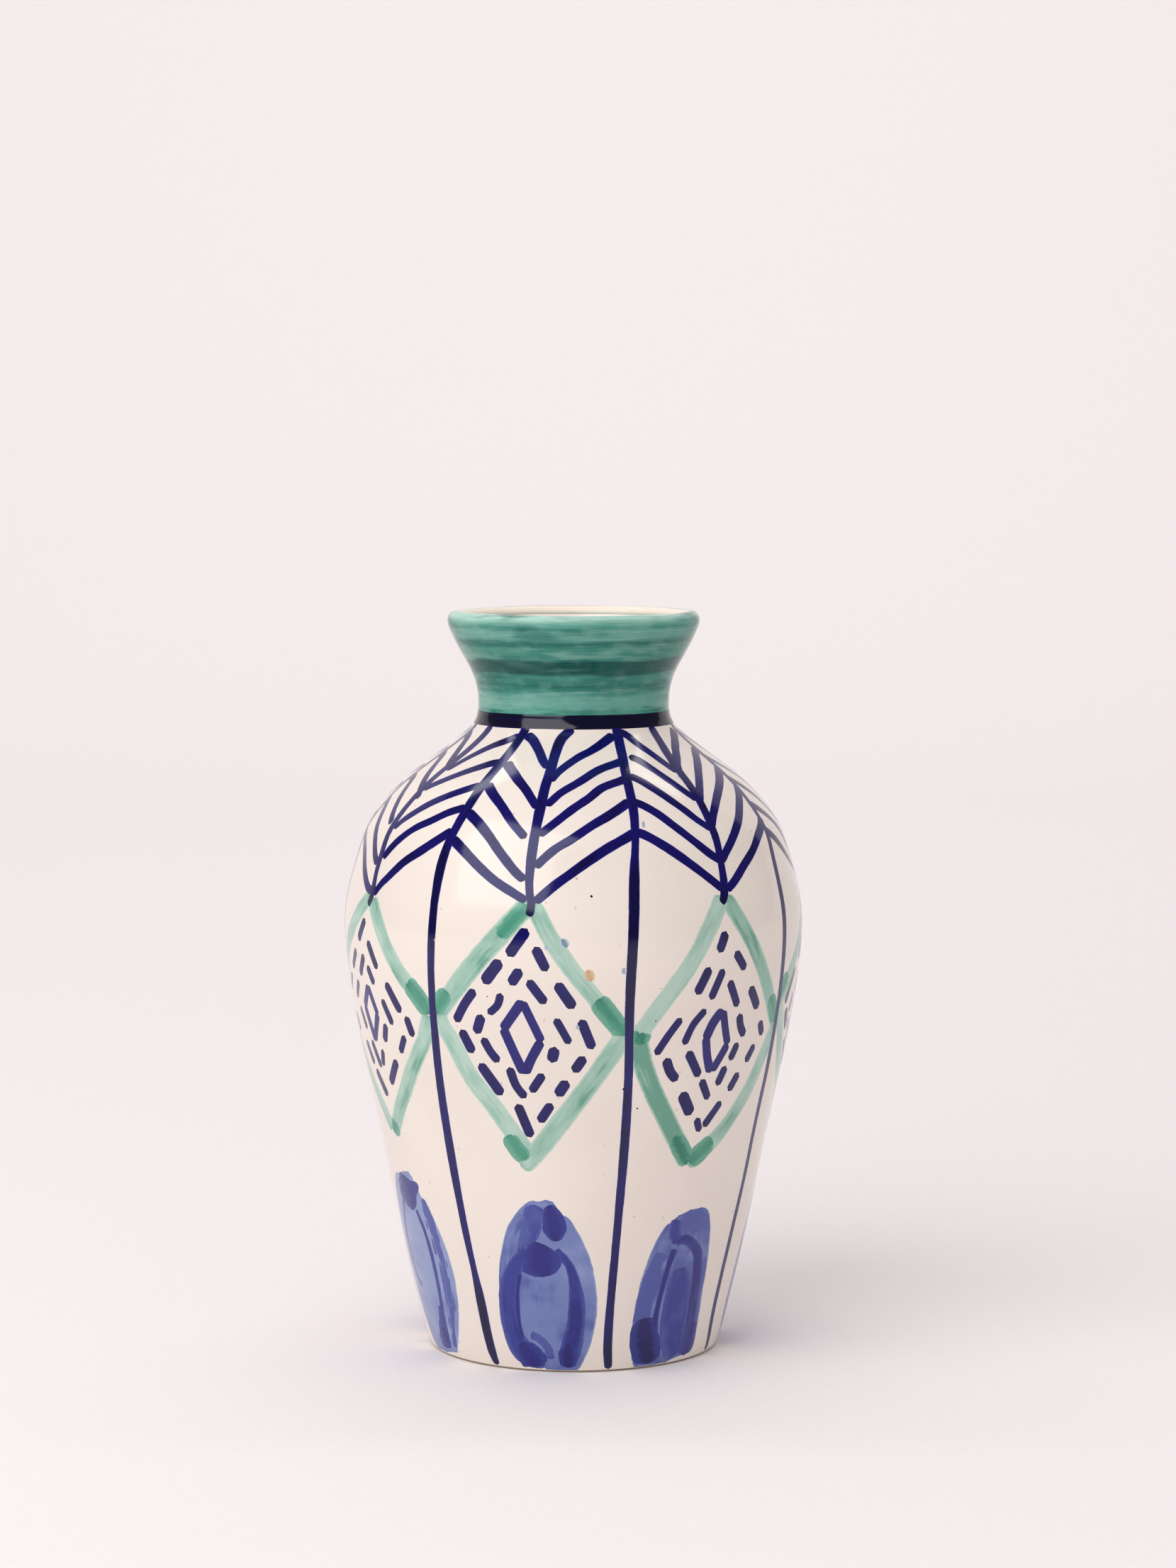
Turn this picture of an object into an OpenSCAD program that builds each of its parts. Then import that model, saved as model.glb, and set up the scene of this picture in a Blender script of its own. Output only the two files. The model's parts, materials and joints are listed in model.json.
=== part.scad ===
// Hand-painted stoneware vase with a flared neck, all sizes in millimetres.
// The origin is the middle of the foot's resting face. The front is towards -Y.

/* [Body] */
// Overall height
height = 200; // [180:1:220]
// Diameter just above the foot
foot_d = 81; // [72:1:88]
// Widest diameter, at the belly
belly_d = 124; // [114:1:132]
// Smallest outside diameter, at the waist of the neck
neck_d = 51.4; // [48:0.2:56]
// Outside diameter of the mouth
mouth_d = 68; // [64:1:74]
// Thickness of the finished wall, glazes included
wall_t = 4.6; // [4:0.1:5.4]
// Thickness of the clay floor
floor_t = 7; // [6:0.5:9]
// Width of the ring that the vase stands on
foot_ring_w = 7; // [5:0.5:9]
// Depth of the hollow turned under the foot
foot_hollow = 2.5; // [1.5:0.5:3.5]

/* [Glaze and paint] */
// Thickness of each glaze coat
glaze_t = 0.4; // [0.3:0.05:0.6]
// Height of the painted marks above the glaze
paint_t = 0.15; // [0.1:0.01:0.25]
// Height of the bare clay line above the resting face
bare_h = 1.2; // [0.8:0.1:2]
// Width of the dark band round the bottom of the neck
band_w = 3.7; // [2.2:0.1:4.5]

/* [Pattern] */
// Number of painted panels round the vase
panels = 7; // [6:1:8]
// Turn of the first panel's middle, from the front towards +X
first_panel = -10.5; // [-25:0.5:25]
// Width of the fine brush lines
line_w = 2.2; // [1.8:0.1:2.6]
// Width of the broad brush lines round the diamonds
frame_w = 4.5; // [3.5:0.1:5.5]
// Width of the petals round the foot
petal_w = 26; // [20:1:30]
// Slanted strokes on each side of a panel's shoulder
slants = 5; // [4:1:6]
// Dashes along one side of a diamond's outer ring
outer_dashes = 4; // [3:1:5]
// Dashes along one side of a diamond's inner ring
inner_dashes = 2; // [2:1:3]

/* [Hidden] */
$fn = 180;

foot_r = foot_d / 2;
belly_r = belly_d / 2;
neck_r = neck_d / 2;
mouth_r = mouth_d / 2;
lip_r = wall_t / 2;
clay_in = wall_t - glaze_t;      // depth of the clay's inner face below the outer surface
hollow_r = foot_r - foot_ring_w - 2;
floor_round = 9;                 // radius where the inside wall meets the floor
pitch = 360 / panels;            // angle of one panel
half = pitch / 2;

function mix(a, b, t) = a + (b - a) * t;

// The outer wall: heights and radii that the profile passes through
WALL = [
    [0.000 * height, foot_r - 1.6],
    [0.020 * height, foot_r - 0.1],
    [0.150 * height, mix(foot_r, belly_r, 0.285)],
    [0.300 * height, mix(foot_r, belly_r, 0.572)],
    [0.450 * height, mix(foot_r, belly_r, 0.860)],
    [0.580 * height, belly_r],
    [0.700 * height, mix(neck_r, belly_r, 0.855)],
    [0.735 * height, mix(neck_r, belly_r, 0.740)],
    [0.775 * height, mix(neck_r, belly_r, 0.535)],
    [0.825 * height, mix(neck_r, belly_r, 0.176)],
    [0.850 * height, mix(neck_r, belly_r, 0.025)],
    [0.880 * height, neck_r],
    [0.915 * height, mix(neck_r, mouth_r, 0.170)],
    [0.955 * height, mix(neck_r, mouth_r, 0.690)],
    [height - lip_r, mouth_r]
];
LAST = len(WALL) - 1;

// Slope of the profile at its control point i: upright at the belly, the waist and the lip
function wall_slope(i) =
    WALL[i][1] == belly_r || WALL[i][1] == neck_r || WALL[i][1] == mouth_r ? 0
    : (WALL[i + 1][1] - WALL[max(i - 1, 0)][1]) / (WALL[i + 1][0] - WALL[max(i - 1, 0)][0]);
function wall_span(z, i = 0) = i >= LAST - 1 || z < WALL[i + 1][0] ? i : wall_span(z, i + 1);

// Outer radius at height z, a smooth curve through the control points
function wall_r(z) =
    let (i = wall_span(z), a = WALL[i], b = WALL[i + 1], h = b[0] - a[0], t = (z - a[0]) / h)
    (2 * t^3 - 3 * t^2 + 1) * a[1] + (t^3 - 2 * t^2 + t) * h * wall_slope(i)
    + (3 * t^2 - 2 * t^3) * b[1] + (t^3 - t^2) * h * wall_slope(i + 1);

// Point of the wall at height z, moved by d into the clay, square to the surface
function wall_pt(z, d) =
    let (e = 0.02, s = (wall_r(min(z + e, height - lip_r)) - wall_r(z - e)) / (2 * e), n = sqrt(1 + s * s))
    [wall_r(z) - d / n, z + d * s / n];
function wall_line(rings, d) = [for (z = rings) wall_pt(z, d)];
function lip_line(d, from, to) =
    [for (i = [0:8]) let (a = mix(from, to, i / 8))
        [mouth_r - lip_r + (lip_r - d) * cos(a), height - lip_r + (lip_r - d) * sin(a)]];
function backwards(list) = [for (i = [len(list) - 1:-1:0]) list[i]];
function steps(a, b, n) = [for (i = [0:n]) mix(a, b, i / n)];

// Heights of the profile's rings, closer together where it bends more
band_top = 0.867 * height;
band_bottom = band_top - band_w;
belly_z = 0.58 * height;
shoulder_z = 0.74 * height;
RINGS_LOW = steps(bare_h, belly_z, 11);
RINGS_MID = steps(belly_z, shoulder_z, 8);
RINGS_TOP = steps(shoulder_z, band_bottom, 6);
RINGS_BODY = concat(RINGS_LOW, [for (i = [1:8]) RINGS_MID[i]], [for (i = [1:6]) RINGS_TOP[i]]);
RINGS_BAND = steps(band_bottom, band_top, 2);
RINGS_NECK = steps(band_top, height - lip_r - 0.03, 9);
RINGS_ALL = concat(RINGS_BODY, [for (i = [1:2]) RINGS_BAND[i]], [for (i = [1:9]) RINGS_NECK[i]]);
RINGS_INSIDE = [for (z = RINGS_ALL) if (z > floor_t + floor_round + 6) z];

// The inside face, from the lip down to the middle of the floor, at depth d below the outside
function inside_line(d) =
    let (low = wall_pt(floor_t + floor_round + 2, d), lift = d - clay_in, r = floor_round - lift,
         c = [low[0] - r, floor_t + floor_round])
    concat(backwards(wall_line(RINGS_INSIDE, d)),
           [for (a = [0:-15:-90]) c + r * [cos(a), sin(a)]],
           [[0, floor_t + lift]]);

// A coat of thickness t that starts at depth d below the outer surface
module coat(rings, d, t) {
    rotate_extrude()
        polygon(concat(wall_line(rings, d), backwards(wall_line(rings, d + t))));
}

// The thin layer that all painted marks are cut from
module paint_layer() {
    coat(RINGS_BODY, -paint_t, paint_t);
}

// Turns an [angle, height] on the wall into its place in a square-on view of the panel
function seen(p) = [wall_r(p[1]) * sin(p[0]), p[1]];
function between(p, q, n) = [for (i = [0:n]) mix(p, q, i / n)];

// A brush line of width w through [angle, height] points
module brush_line(path, w) {
    q = [for (p = path) seen(p)];
    n = len(q) - 1;
    side = [for (i = [0:n]) let (d = q[min(i + 1, n)] - q[max(i - 1, 0)]) [-d[1], d[0]] / norm(d) * w / 2];
    polygon(concat([for (i = [0:n]) q[i] + side[i]], [for (i = [n:-1:0]) q[i] - side[i]]));
}

// A short dash with blunt pointed ends, between two [angle, height] points
module dash(from, to, w) {
    a = seen(from);
    b = seen(to);
    along = (b - a) / norm(b - a) * w / 2;
    side = [-along[1], along[0]];
    polygon([a - along, a + side, b + side, b + along, b - side, a - side]);
}

// Stands a square-on drawing up as a solid that points outwards at angle a from the front
module facing(a) {
    rotate([0, 0, a - 90])
        rotate([90, 0, 90])
            translate([0, 0, 15])
                linear_extrude(height = belly_r)
                    children();
}

module each_panel() {
    for (k = [0:panels - 1])
        facing(first_panel + k * pitch)
            children();
}

// Painted lines lean a little to one side where they climb the shoulder
lean_z = 0.64 * height;
function lean(z) = z > lean_z ? 9 * pow((z - lean_z) / (band_bottom - lean_z), 1.5) : 0;

// Corners of a diamond: half its angle, then its top, middle and bottom heights
function diamond(w, top, mid, bottom) = [[0, top], [w, mid], [0, bottom], [-w, mid]];
FRAME = diamond(half - 1.6, 0.625 * height, 0.475 * height, 0.300 * height);
OUTER_RING = diamond(half - 6.5, 0.605 * height, 0.475 * height, 0.325 * height);
INNER_RING = diamond(half - 13, 0.560 * height, 0.468 * height, 0.368 * height);
HEART = diamond(5.8, 0.515 * height, 0.462 * height, 0.410 * height);

// Slanted strokes run from the stems down to the middle line
peak_top = band_bottom - 1;
peak_step = 0.123 * height / (slants - 1);
valley_top = 0.792 * height;
valley_step = 0.144 * height / (slants - 1);
middle_end = 0.640 * height;

// Both ends run past the paint layer, which trims them
module stem_drawing() {
    climb = steps(lean_z, band_bottom + 1, 6);
    brush_line(concat([[0, bare_h - 1]], [for (z = climb) [lean(z), z]]), line_w);
}

module chevron_drawing() {
    brush_line([for (z = steps(middle_end, band_bottom + 1, 6)) [lean(z), z]], line_w);
    for (side = [-1, 1], i = [0:slants - 1]) {
        peak = peak_top - i * peak_step;
        valley = valley_top - i * valley_step;
        brush_line(between([side * half + lean(peak), peak], [lean(valley), valley], 3), line_w);
    }
}

module frame_drawing() {
    for (i = [0:3])
        brush_line(between(FRAME[i], FRAME[(i + 1) % 4], 4), frame_w);
    for (p = FRAME)
        translate(seen(p))
            circle(d = frame_w, $fn = 24);
}

module ring_of_dashes(corners, count, fill) {
    for (side = [0:3], i = [0:count - 1]) {
        a = corners[side];
        b = corners[(side + 1) % 4];
        dash(mix(a, b, (i + 0.5 - fill / 2) / count), mix(a, b, (i + 0.5 + fill / 2) / count), 0.85 * line_w);
    }
}

module stems_upright() {
    for (k = [0:panels - 1])
        facing(first_panel + (k + 0.5) * pitch)
            stem_drawing();
}

module clay_body() {
    color("linen")
        rotate_extrude()
            polygon(concat(
                [[0, foot_hollow], [hollow_r, foot_hollow], [hollow_r + 2, 0], [wall_r(0) - glaze_t, 0]],
                wall_line(RINGS_ALL, glaze_t),
                lip_line(glaze_t, 0, 180),
                inside_line(clay_in)));
}

module inner_glaze() {
    color("ivory")
        rotate_extrude()
            polygon(concat(
                inside_line(clay_in),
                backwards(inside_line(wall_t))));
}

module outer_glaze() {
    color("oldlace")
        coat(RINGS_BODY, 0, glaze_t);
}

module neck_glaze() {
    color("mediumaquamarine")
        rotate_extrude()
            polygon(concat(
                wall_line(RINGS_NECK, 0),
                lip_line(0, 0, 180),
                backwards(lip_line(glaze_t, 0, 180)),
                backwards(wall_line(RINGS_NECK, glaze_t))));
}

module neck_band() {
    color("midnightblue")
        coat(RINGS_BAND, 0, glaze_t);
}

module stem_lines() {
    color("darkslateblue")
        intersection() {
            paint_layer();
            stems_upright();
        }
}

module shoulder_chevrons() {
    color("navy")
        difference() {
            intersection() {
                paint_layer();
                each_panel() chevron_drawing();
            }
            stems_upright();
        }
}

module diamond_frames() {
    color("mediumseagreen")
        difference() {
            intersection() {
                paint_layer();
                each_panel()
                    difference() {
                        frame_drawing();
                        chevron_drawing();
                    }
            }
            stems_upright();
        }
}

module diamond_dashes() {
    color("navy")
        intersection() {
            paint_layer();
            each_panel() {
                ring_of_dashes(OUTER_RING, outer_dashes, 0.6);
                ring_of_dashes(INNER_RING, inner_dashes, 0.55);
            }
        }
}

module diamond_hearts() {
    color("mediumblue")
        intersection() {
            paint_layer();
            each_panel()
                difference() {
                    polygon([for (p = HEART) seen(p)]);
                    mid = seen([0, HEART[1][1]]);
                    polygon([for (p = HEART) mix(mid, seen(p), 0.55)]);
                }
        }
}

module base_petals() {
    color("royalblue")
        intersection() {
            paint_layer();
            each_panel()
                translate([0, 0.121 * height])
                    polygon([for (i = [0:23]) [petal_w / 2 * cos(i * 15), 0.112 * height * sin(i * 15)]]);
        }
}

clay_body();
inner_glaze();
outer_glaze();
neck_glaze();
neck_band();
shoulder_chevrons();
stem_lines();
diamond_frames();
diamond_dashes();
diamond_hearts();
base_petals();
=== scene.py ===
# %% [markdown]
# # A hand-painted vase
# This lesson builds a round-shouldered ceramic vase the way a pottery makes one. First comes
# the thrown clay, then the glaze coats over it, then every brush mark as its own thin film of
# colour. The fixed frame holds the same pieces as plain solids, and most finished pieces here
# stand in for one of them.

# %% Load the fixed frame
import json
import math
import random

import bpy
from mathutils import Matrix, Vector

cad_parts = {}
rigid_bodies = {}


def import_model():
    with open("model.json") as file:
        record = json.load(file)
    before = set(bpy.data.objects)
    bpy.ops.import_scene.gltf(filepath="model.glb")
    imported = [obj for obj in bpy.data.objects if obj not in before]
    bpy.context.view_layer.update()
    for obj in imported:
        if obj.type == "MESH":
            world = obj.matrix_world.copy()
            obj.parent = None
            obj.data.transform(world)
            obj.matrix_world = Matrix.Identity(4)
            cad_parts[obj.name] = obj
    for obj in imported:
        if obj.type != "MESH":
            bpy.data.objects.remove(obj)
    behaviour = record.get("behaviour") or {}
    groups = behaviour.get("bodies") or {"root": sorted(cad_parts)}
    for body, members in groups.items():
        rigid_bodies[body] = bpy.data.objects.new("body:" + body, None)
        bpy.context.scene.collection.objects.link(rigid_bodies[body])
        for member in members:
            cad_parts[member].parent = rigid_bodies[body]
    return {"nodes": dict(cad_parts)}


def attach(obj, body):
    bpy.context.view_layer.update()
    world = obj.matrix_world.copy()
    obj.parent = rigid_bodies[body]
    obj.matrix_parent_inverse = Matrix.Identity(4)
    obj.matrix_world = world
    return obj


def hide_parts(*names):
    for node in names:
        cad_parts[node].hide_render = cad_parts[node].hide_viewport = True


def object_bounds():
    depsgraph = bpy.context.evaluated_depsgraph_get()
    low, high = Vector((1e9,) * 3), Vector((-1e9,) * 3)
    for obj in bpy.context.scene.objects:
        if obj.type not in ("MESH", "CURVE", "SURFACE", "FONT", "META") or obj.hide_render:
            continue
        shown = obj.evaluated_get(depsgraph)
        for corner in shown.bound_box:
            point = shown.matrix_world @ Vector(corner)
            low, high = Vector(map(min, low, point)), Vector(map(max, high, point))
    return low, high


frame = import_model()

MM = 0.001
frame_low, frame_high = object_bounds()
height = frame_high.z / MM

# %% [markdown]
# ## Camera
# The camera comes first, because everything is judged through it. It stands a metre in front
# of the vase, a little above it, and looks down by five degrees, so the mouth shows as a thin
# ellipse. A long lens keeps the sides of the vase nearly parallel.

# %% Camera
def add_object(name, data):
    thing = bpy.data.objects.new(name, data)
    bpy.context.scene.collection.objects.link(thing)
    return thing


lens = bpy.data.cameras.new("camera")
lens.lens = 88.37
lens.sensor_width = 36.0
camera = add_object("camera", lens)
camera.location = (0.0039, -1.040, 0.2445)
camera.rotation_euler = (math.radians(84.97), 0, 0)
bpy.context.scene.camera = camera
bpy.context.scene.view_settings.view_transform = "Standard"
print("camera distance, m:", round(camera.location.length, 3))

# %% [markdown]
# ## Wiring nodes as formulas
# Materials and Geometry Nodes are both trees of small boxes. Placing each box by hand hides the
# idea behind it, so one small class wraps a socket and lets Python's own + - * / add the Math
# nodes. Every other node goes through the single method `add`.

# %% Wires and boards
class Wire:
    """One socket of a node tree. Arithmetic on it adds Math nodes."""

    def __init__(self, board, socket):
        self.board, self.socket = board, socket

    def math(self, operation, first, second):
        return self.board.add("ShaderNodeMath", {"operation": operation}, {0: first, 1: second})

    def __add__(self, other):
        return self.math("ADD", self, other)

    def __radd__(self, other):
        return self.math("ADD", other, self)

    def __sub__(self, other):
        return self.math("SUBTRACT", self, other)

    def __rsub__(self, other):
        return self.math("SUBTRACT", other, self)

    def __mul__(self, other):
        return self.math("MULTIPLY", self, other)

    def __rmul__(self, other):
        return self.math("MULTIPLY", other, self)

    def __truediv__(self, other):
        return self.math("DIVIDE", self, other)

    def __rtruediv__(self, other):
        return self.math("DIVIDE", other, self)

    def __pow__(self, other):
        return self.math("POWER", self, other)

    def at(self, name):
        """Another output of the node that this wire comes from."""
        return Wire(self.board, self.socket.node.outputs[name])


class Board:
    """A node tree that is being wired, for a material or for Geometry Nodes."""

    def __init__(self, tree):
        self.tree = tree

    def feed(self, socket, value):
        if isinstance(value, Wire):
            self.tree.links.new(value.socket, socket)
        else:
            socket.default_value = value

    def add(self, kind, settings=None, sockets=None, out=0):
        """Any node: its type, its settings (set first), then its sockets' values or links."""
        node = self.tree.nodes.new(kind)
        for key, value in (settings or {}).items():
            if key == "stops":
                while len(node.color_ramp.elements) < len(value):
                    node.color_ramp.elements.new(1.0)
                for element, (place, colour) in zip(node.color_ramp.elements, value):
                    element.position, element.color = place, colour
            else:
                setattr(node, key, value)
        for key, value in (sockets or {}).items():
            self.feed(node.inputs[key], value)
        return Wire(self, node.outputs[out])

    def step(self, value, low, high, start=0.0, end=1.0):
        """Goes smoothly from start to end while value goes from low to high."""
        return self.add("ShaderNodeMapRange", {"interpolation_type": "SMOOTHSTEP"},
                        {0: value, 1: low, 2: high, 3: start, 4: end})

    def noise(self, vector, scale, detail=2.0, roughness=0.5):
        return self.add("ShaderNodeTexNoise", {}, {"Vector": vector, "Scale": scale,
                                                   "Detail": detail, "Roughness": roughness})

    def xyz(self, vector):
        x = self.add("ShaderNodeSeparateXYZ", {}, {0: vector})
        return x, x.at("Y"), x.at("Z")

    def vector(self, x, y, z):
        return self.add("ShaderNodeCombineXYZ", {}, {0: x, 1: y, 2: z})

    def arrow(self, operation, *values, out=0):
        """Vector Math, for places and directions."""
        return self.add("ShaderNodeVectorMath", {"operation": operation},
                        dict(enumerate(values)), out)

    def times(self, vector, factor):
        return self.add("ShaderNodeVectorMath", {"operation": "SCALE"}, {0: vector, "Scale": factor})


print("node helpers are ready")

# %% [markdown]
# ## Glazes and colours
# A fired glaze is clear glass over colour, so the glazed finishes share one smooth, glossy
# shader and differ in the colour under the shine. Only the bare clay and the studio's paper are
# matt. Colours are given as an artist would mix them, from 0 to 255, and turned into the linear
# light that the renderer needs. What varies over a surface feeds the base colour, the roughness
# or a bump, and the rest is set once on the shader.

# %% The Glaze class
def tint(red, green, blue):
    """A screen colour as linear light."""
    def linear(v):
        v = v / 255
        return v / 12.92 if v <= 0.04045 else ((v + 0.055) / 1.055) ** 2.4
    return (linear(red), linear(green), linear(blue), 1.0)


class Glaze(Board):
    """A procedural finish built round one Principled shader."""

    def __init__(self, name, roughness=0.09, shine=0.48):
        self.material = bpy.data.materials.new(name)
        self.material.use_nodes = True
        super().__init__(self.material.node_tree)
        self.shader = self.tree.nodes["Principled BSDF"]
        self.shader.inputs["Roughness"].default_value = roughness
        self.shader.inputs["IOR"].default_value = 1.5
        self.shader.inputs["Specular IOR Level"].default_value = shine

    def mix(self, first, second, factor):
        return self.add("ShaderNodeMix", {"data_type": "RGBA"}, {0: factor, 6: first, 7: second},
                        out=2)

    def place(self):
        return self.add("ShaderNodeTexCoord").at("Object")

    def brush(self):
        """What a brush mark knows about itself: mm along it, -1 to 1 across it, mm to its end."""
        return self.xyz(self.add("ShaderNodeAttribute", {"attribute_name": "stroke"}).at("Vector"))

    def load(self):
        """Each brush mark's own number, and how much colour the brush carried there."""
        brush = self.add("ShaderNodeAttribute", {"attribute_name": "brush"})
        return self.xyz(brush.at("Vector"))[:2]

    def size(self, wire):
        """How far a value is from zero."""
        return self.add("ShaderNodeMath", {"operation": "ABSOLUTE"}, {0: wire})

    def bump(self, shape, depth, strength):
        self.feed(self.shader.inputs["Normal"],
                  self.add("ShaderNodeBump", {}, {"Strength": strength, "Distance": depth,
                                                  "Height": shape}))

    def paint(self, socket, value):
        self.feed(self.shader.inputs[socket], value)


CREAM = tint(236, 226, 217)
print("cream in linear light:", [round(v, 3) for v in CREAM[:3]])

# %% [markdown]
# ### Cream glaze
# The ground is a warm white glaze over pale clay. It isn't one flat colour: it pools a little
# greyer in places, and gas leaving the clay in the kiln leaves fine pinholes and dust-fine
# specks. Two scales of noise make the clouds, and the cells of a Voronoi texture give a dot
# here and there: each cell's random colour decides whether it holds a dot at all.

# %% Cream glaze and liner glaze
def dots(glaze, place, scale, radius, share):
    """Round dots, one in some of the cells: 1 inside a dot, 0 outside."""
    cell = glaze.add("ShaderNodeTexVoronoi", {}, {"Vector": place, "Scale": scale})
    chosen, _, _ = glaze.xyz(cell.at("Color"))
    return (glaze.step(cell.at("Distance"), radius * 0.6, radius, 1.0, 0.0)
            * glaze.step(chosen, share, share * 0.98))


def cream_finish(name, base, cloud, dotted):
    """A warm white glaze, with pinholes and specks where it is seen from outside."""
    glaze = Glaze(name, roughness=0.12)
    place = glaze.place()
    clouds = glaze.step(glaze.noise(place, 22.0, 4.0), 0.35, 0.7)
    fine = glaze.noise(place, 900.0, 2.0)
    colour = glaze.mix(base, cloud, clouds * 0.55 + fine * 0.18)
    if dotted:
        pin = dots(glaze, place, 260.0, 0.11, 0.22)
        speck = dots(glaze, place, 110.0, 0.07, 0.12)
        colour = glaze.mix(colour, tint(176, 158, 142), pin * 0.45)
        colour = glaze.mix(colour, tint(120, 104, 98), speck * 0.5)
        glaze.bump(0.0 - pin, 0.00006, 0.5)
    glaze.paint("Base Color", colour)
    glaze.paint("Roughness", 0.10 + fine * 0.05)
    return glaze.material


cream_glaze = cream_finish("cream_glaze", CREAM, tint(227, 216, 207), True)
liner_glaze = cream_finish("liner_glaze", tint(246, 236, 226), tint(236, 222, 208), False)
print("made", cream_glaze.name, "and", liner_glaze.name)

# %% [markdown]
# ### Bare clay
# The foot is wiped clean of glaze, or the vase would stick to the kiln shelf. What shows is
# matt fired clay with a fine grain and the faint rings of the turning tool.

# %% Bare clay
clay = Glaze("bare_clay", roughness=0.85, shine=0.3)
grain_place = clay.place()
cx, cy, cz = clay.xyz(grain_place)
from_axis = clay.arrow("LENGTH", clay.vector(cx, cy, 0.0), out=1)
rings = clay.noise(clay.vector(from_axis * 900.0, cz * 900.0, 3.0), 1.0, 2.0)
grain = clay.noise(grain_place, 1500.0, 3.0)
clay.paint("Base Color", clay.mix(tint(190, 172, 150), tint(150, 130, 108),
                                  rings * 0.6 + clay.step(grain, 0.4, 0.75) * 0.5))
clay.paint("Roughness", 0.75 + grain * 0.2)
clay.bump(rings * 0.5 + grain * 0.4, 0.0002, 0.6)
print("made", clay.material.name)

# %% [markdown]
# ### Green neck glaze
# The neck is painted while the vase turns on a wheel, so the copper green lies in level bands
# where the brush was full, and in thin streaks where it ran dry. A colour ramp on the height
# gives the bands. The streaks are noise that is stretched round the neck: its place is the
# direction from the axis, which changes slowly, and the height, which changes fast. A darker
# belt goes on top, and the glaze thins to cream where it rolls over the lip.

# %% Green neck glaze
GREEN_PALE = tint(140, 186, 172)
GREEN_LIGHT = tint(94, 156, 142)
GREEN_MID = tint(56, 132, 117)
GREEN_DARK = tint(22, 102, 90)
GREEN_DEEP = tint(3, 76, 69)

NECK_LOW, NECK_SPAN = 170.0, 31.0

green = Glaze("green_neck_glaze", roughness=0.08, shine=0.26)
gx, gy, gz = green.xyz(green.place())
reach = green.arrow("LENGTH", green.vector(gx, gy, 0.0), out=1)
round_x, round_y = gx / reach, gy / reach


def level_streaks(spread, pitch, detail, roughness=0.5, start=0.0):
    """Noise that changes slowly round the neck, by spread, and fast up it, by pitch."""
    place = green.vector(round_x * spread, round_y * spread, gz * pitch + start)
    return green.noise(place, 1.0, detail, roughness)


wander = level_streaks(1.1, 40.0, 2.0)
streak = level_streaks(1.7, 800.0, 4.0, 0.6)
hair = level_streaks(2.6, 2600.0, 3.0, 0.6)
patch = level_streaks(1.3, 150.0, 2.0, start=4.0)
cloud = green.noise(green.vector(gx, gy, gz * 1.6), 190.0, 3.0)
level = gz / MM + (wander - 0.5) * 3.4

BANDS = [(170.5, GREEN_MID), (173.6, GREEN_MID), (174.6, GREEN_LIGHT), (178.0, GREEN_LIGHT),
         (179.2, GREEN_MID), (181.0, GREEN_DARK), (182.2, GREEN_MID), (183.7, GREEN_MID),
         (184.4, GREEN_DEEP), (187.2, GREEN_DEEP), (188.4, GREEN_MID), (191.0, GREEN_MID),
         (192.6, GREEN_DARK), (194.0, GREEN_LIGHT), (195.8, GREEN_LIGHT), (196.8, GREEN_MID),
         (197.8, GREEN_LIGHT), (199.2, tint(172, 208, 196))]
stops = [((z - NECK_LOW) / NECK_SPAN, shade) for z, shade in BANDS]
colour = green.add("ShaderNodeValToRGB", {"stops": stops}, {0: (level - NECK_LOW) / NECK_SPAN})

STREAKS = [(GREEN_PALE, streak, 0.54, 0.72, 0.42), (GREEN_DEEP, streak, 0.46, 0.30, 0.62),
           (GREEN_DARK, patch, 0.52, 0.66, 0.62), (GREEN_PALE, patch, 0.46, 0.32, 0.42),
           (GREEN_LIGHT, hair, 0.54, 0.70, 0.42), (GREEN_DARK, hair, 0.46, 0.32, 0.36),
           (GREEN_PALE, cloud, 0.45, 0.75, 0.22)]
for shade, pattern, start, full, strength in STREAKS:
    colour = green.mix(colour, shade, green.step(pattern, start, full) * strength)

belt = green.step(level, 183.5, 184.5) * green.step(level, 188.4, 187.0)
colour = green.mix(colour, GREEN_DEEP, belt * 0.62)
thin_lip = green.step(reach / MM + (wander - 0.5) * 0.8, 31.6, 30.6)
over_crest = green.step(gz / MM, 197.0, 199.0) * thin_lip
colour = green.mix(colour, tint(238, 226, 212), over_crest)
green.paint("Base Color", colour)
green.paint("Roughness", 0.07 + streak * 0.06)
green.bump(streak, 0.00004, 0.3)
print("made", green.material.name, "with", len(BANDS), "bands and", len(STREAKS), "washes")

# %% [markdown]
# ### Brushed cobalt and brushed green
# Every painted mark carries five numbers to its material: how far along the stroke a point is,
# how far across, how near the stroke's end, which stroke it is, and how much colour the brush
# held there. Cobalt is nearly black where it lies thick, and
# shows its blue only where it thins out: at the edges, and where the brush runs dry. At the very
# edge it softens into whatever it is painted on.

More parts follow.
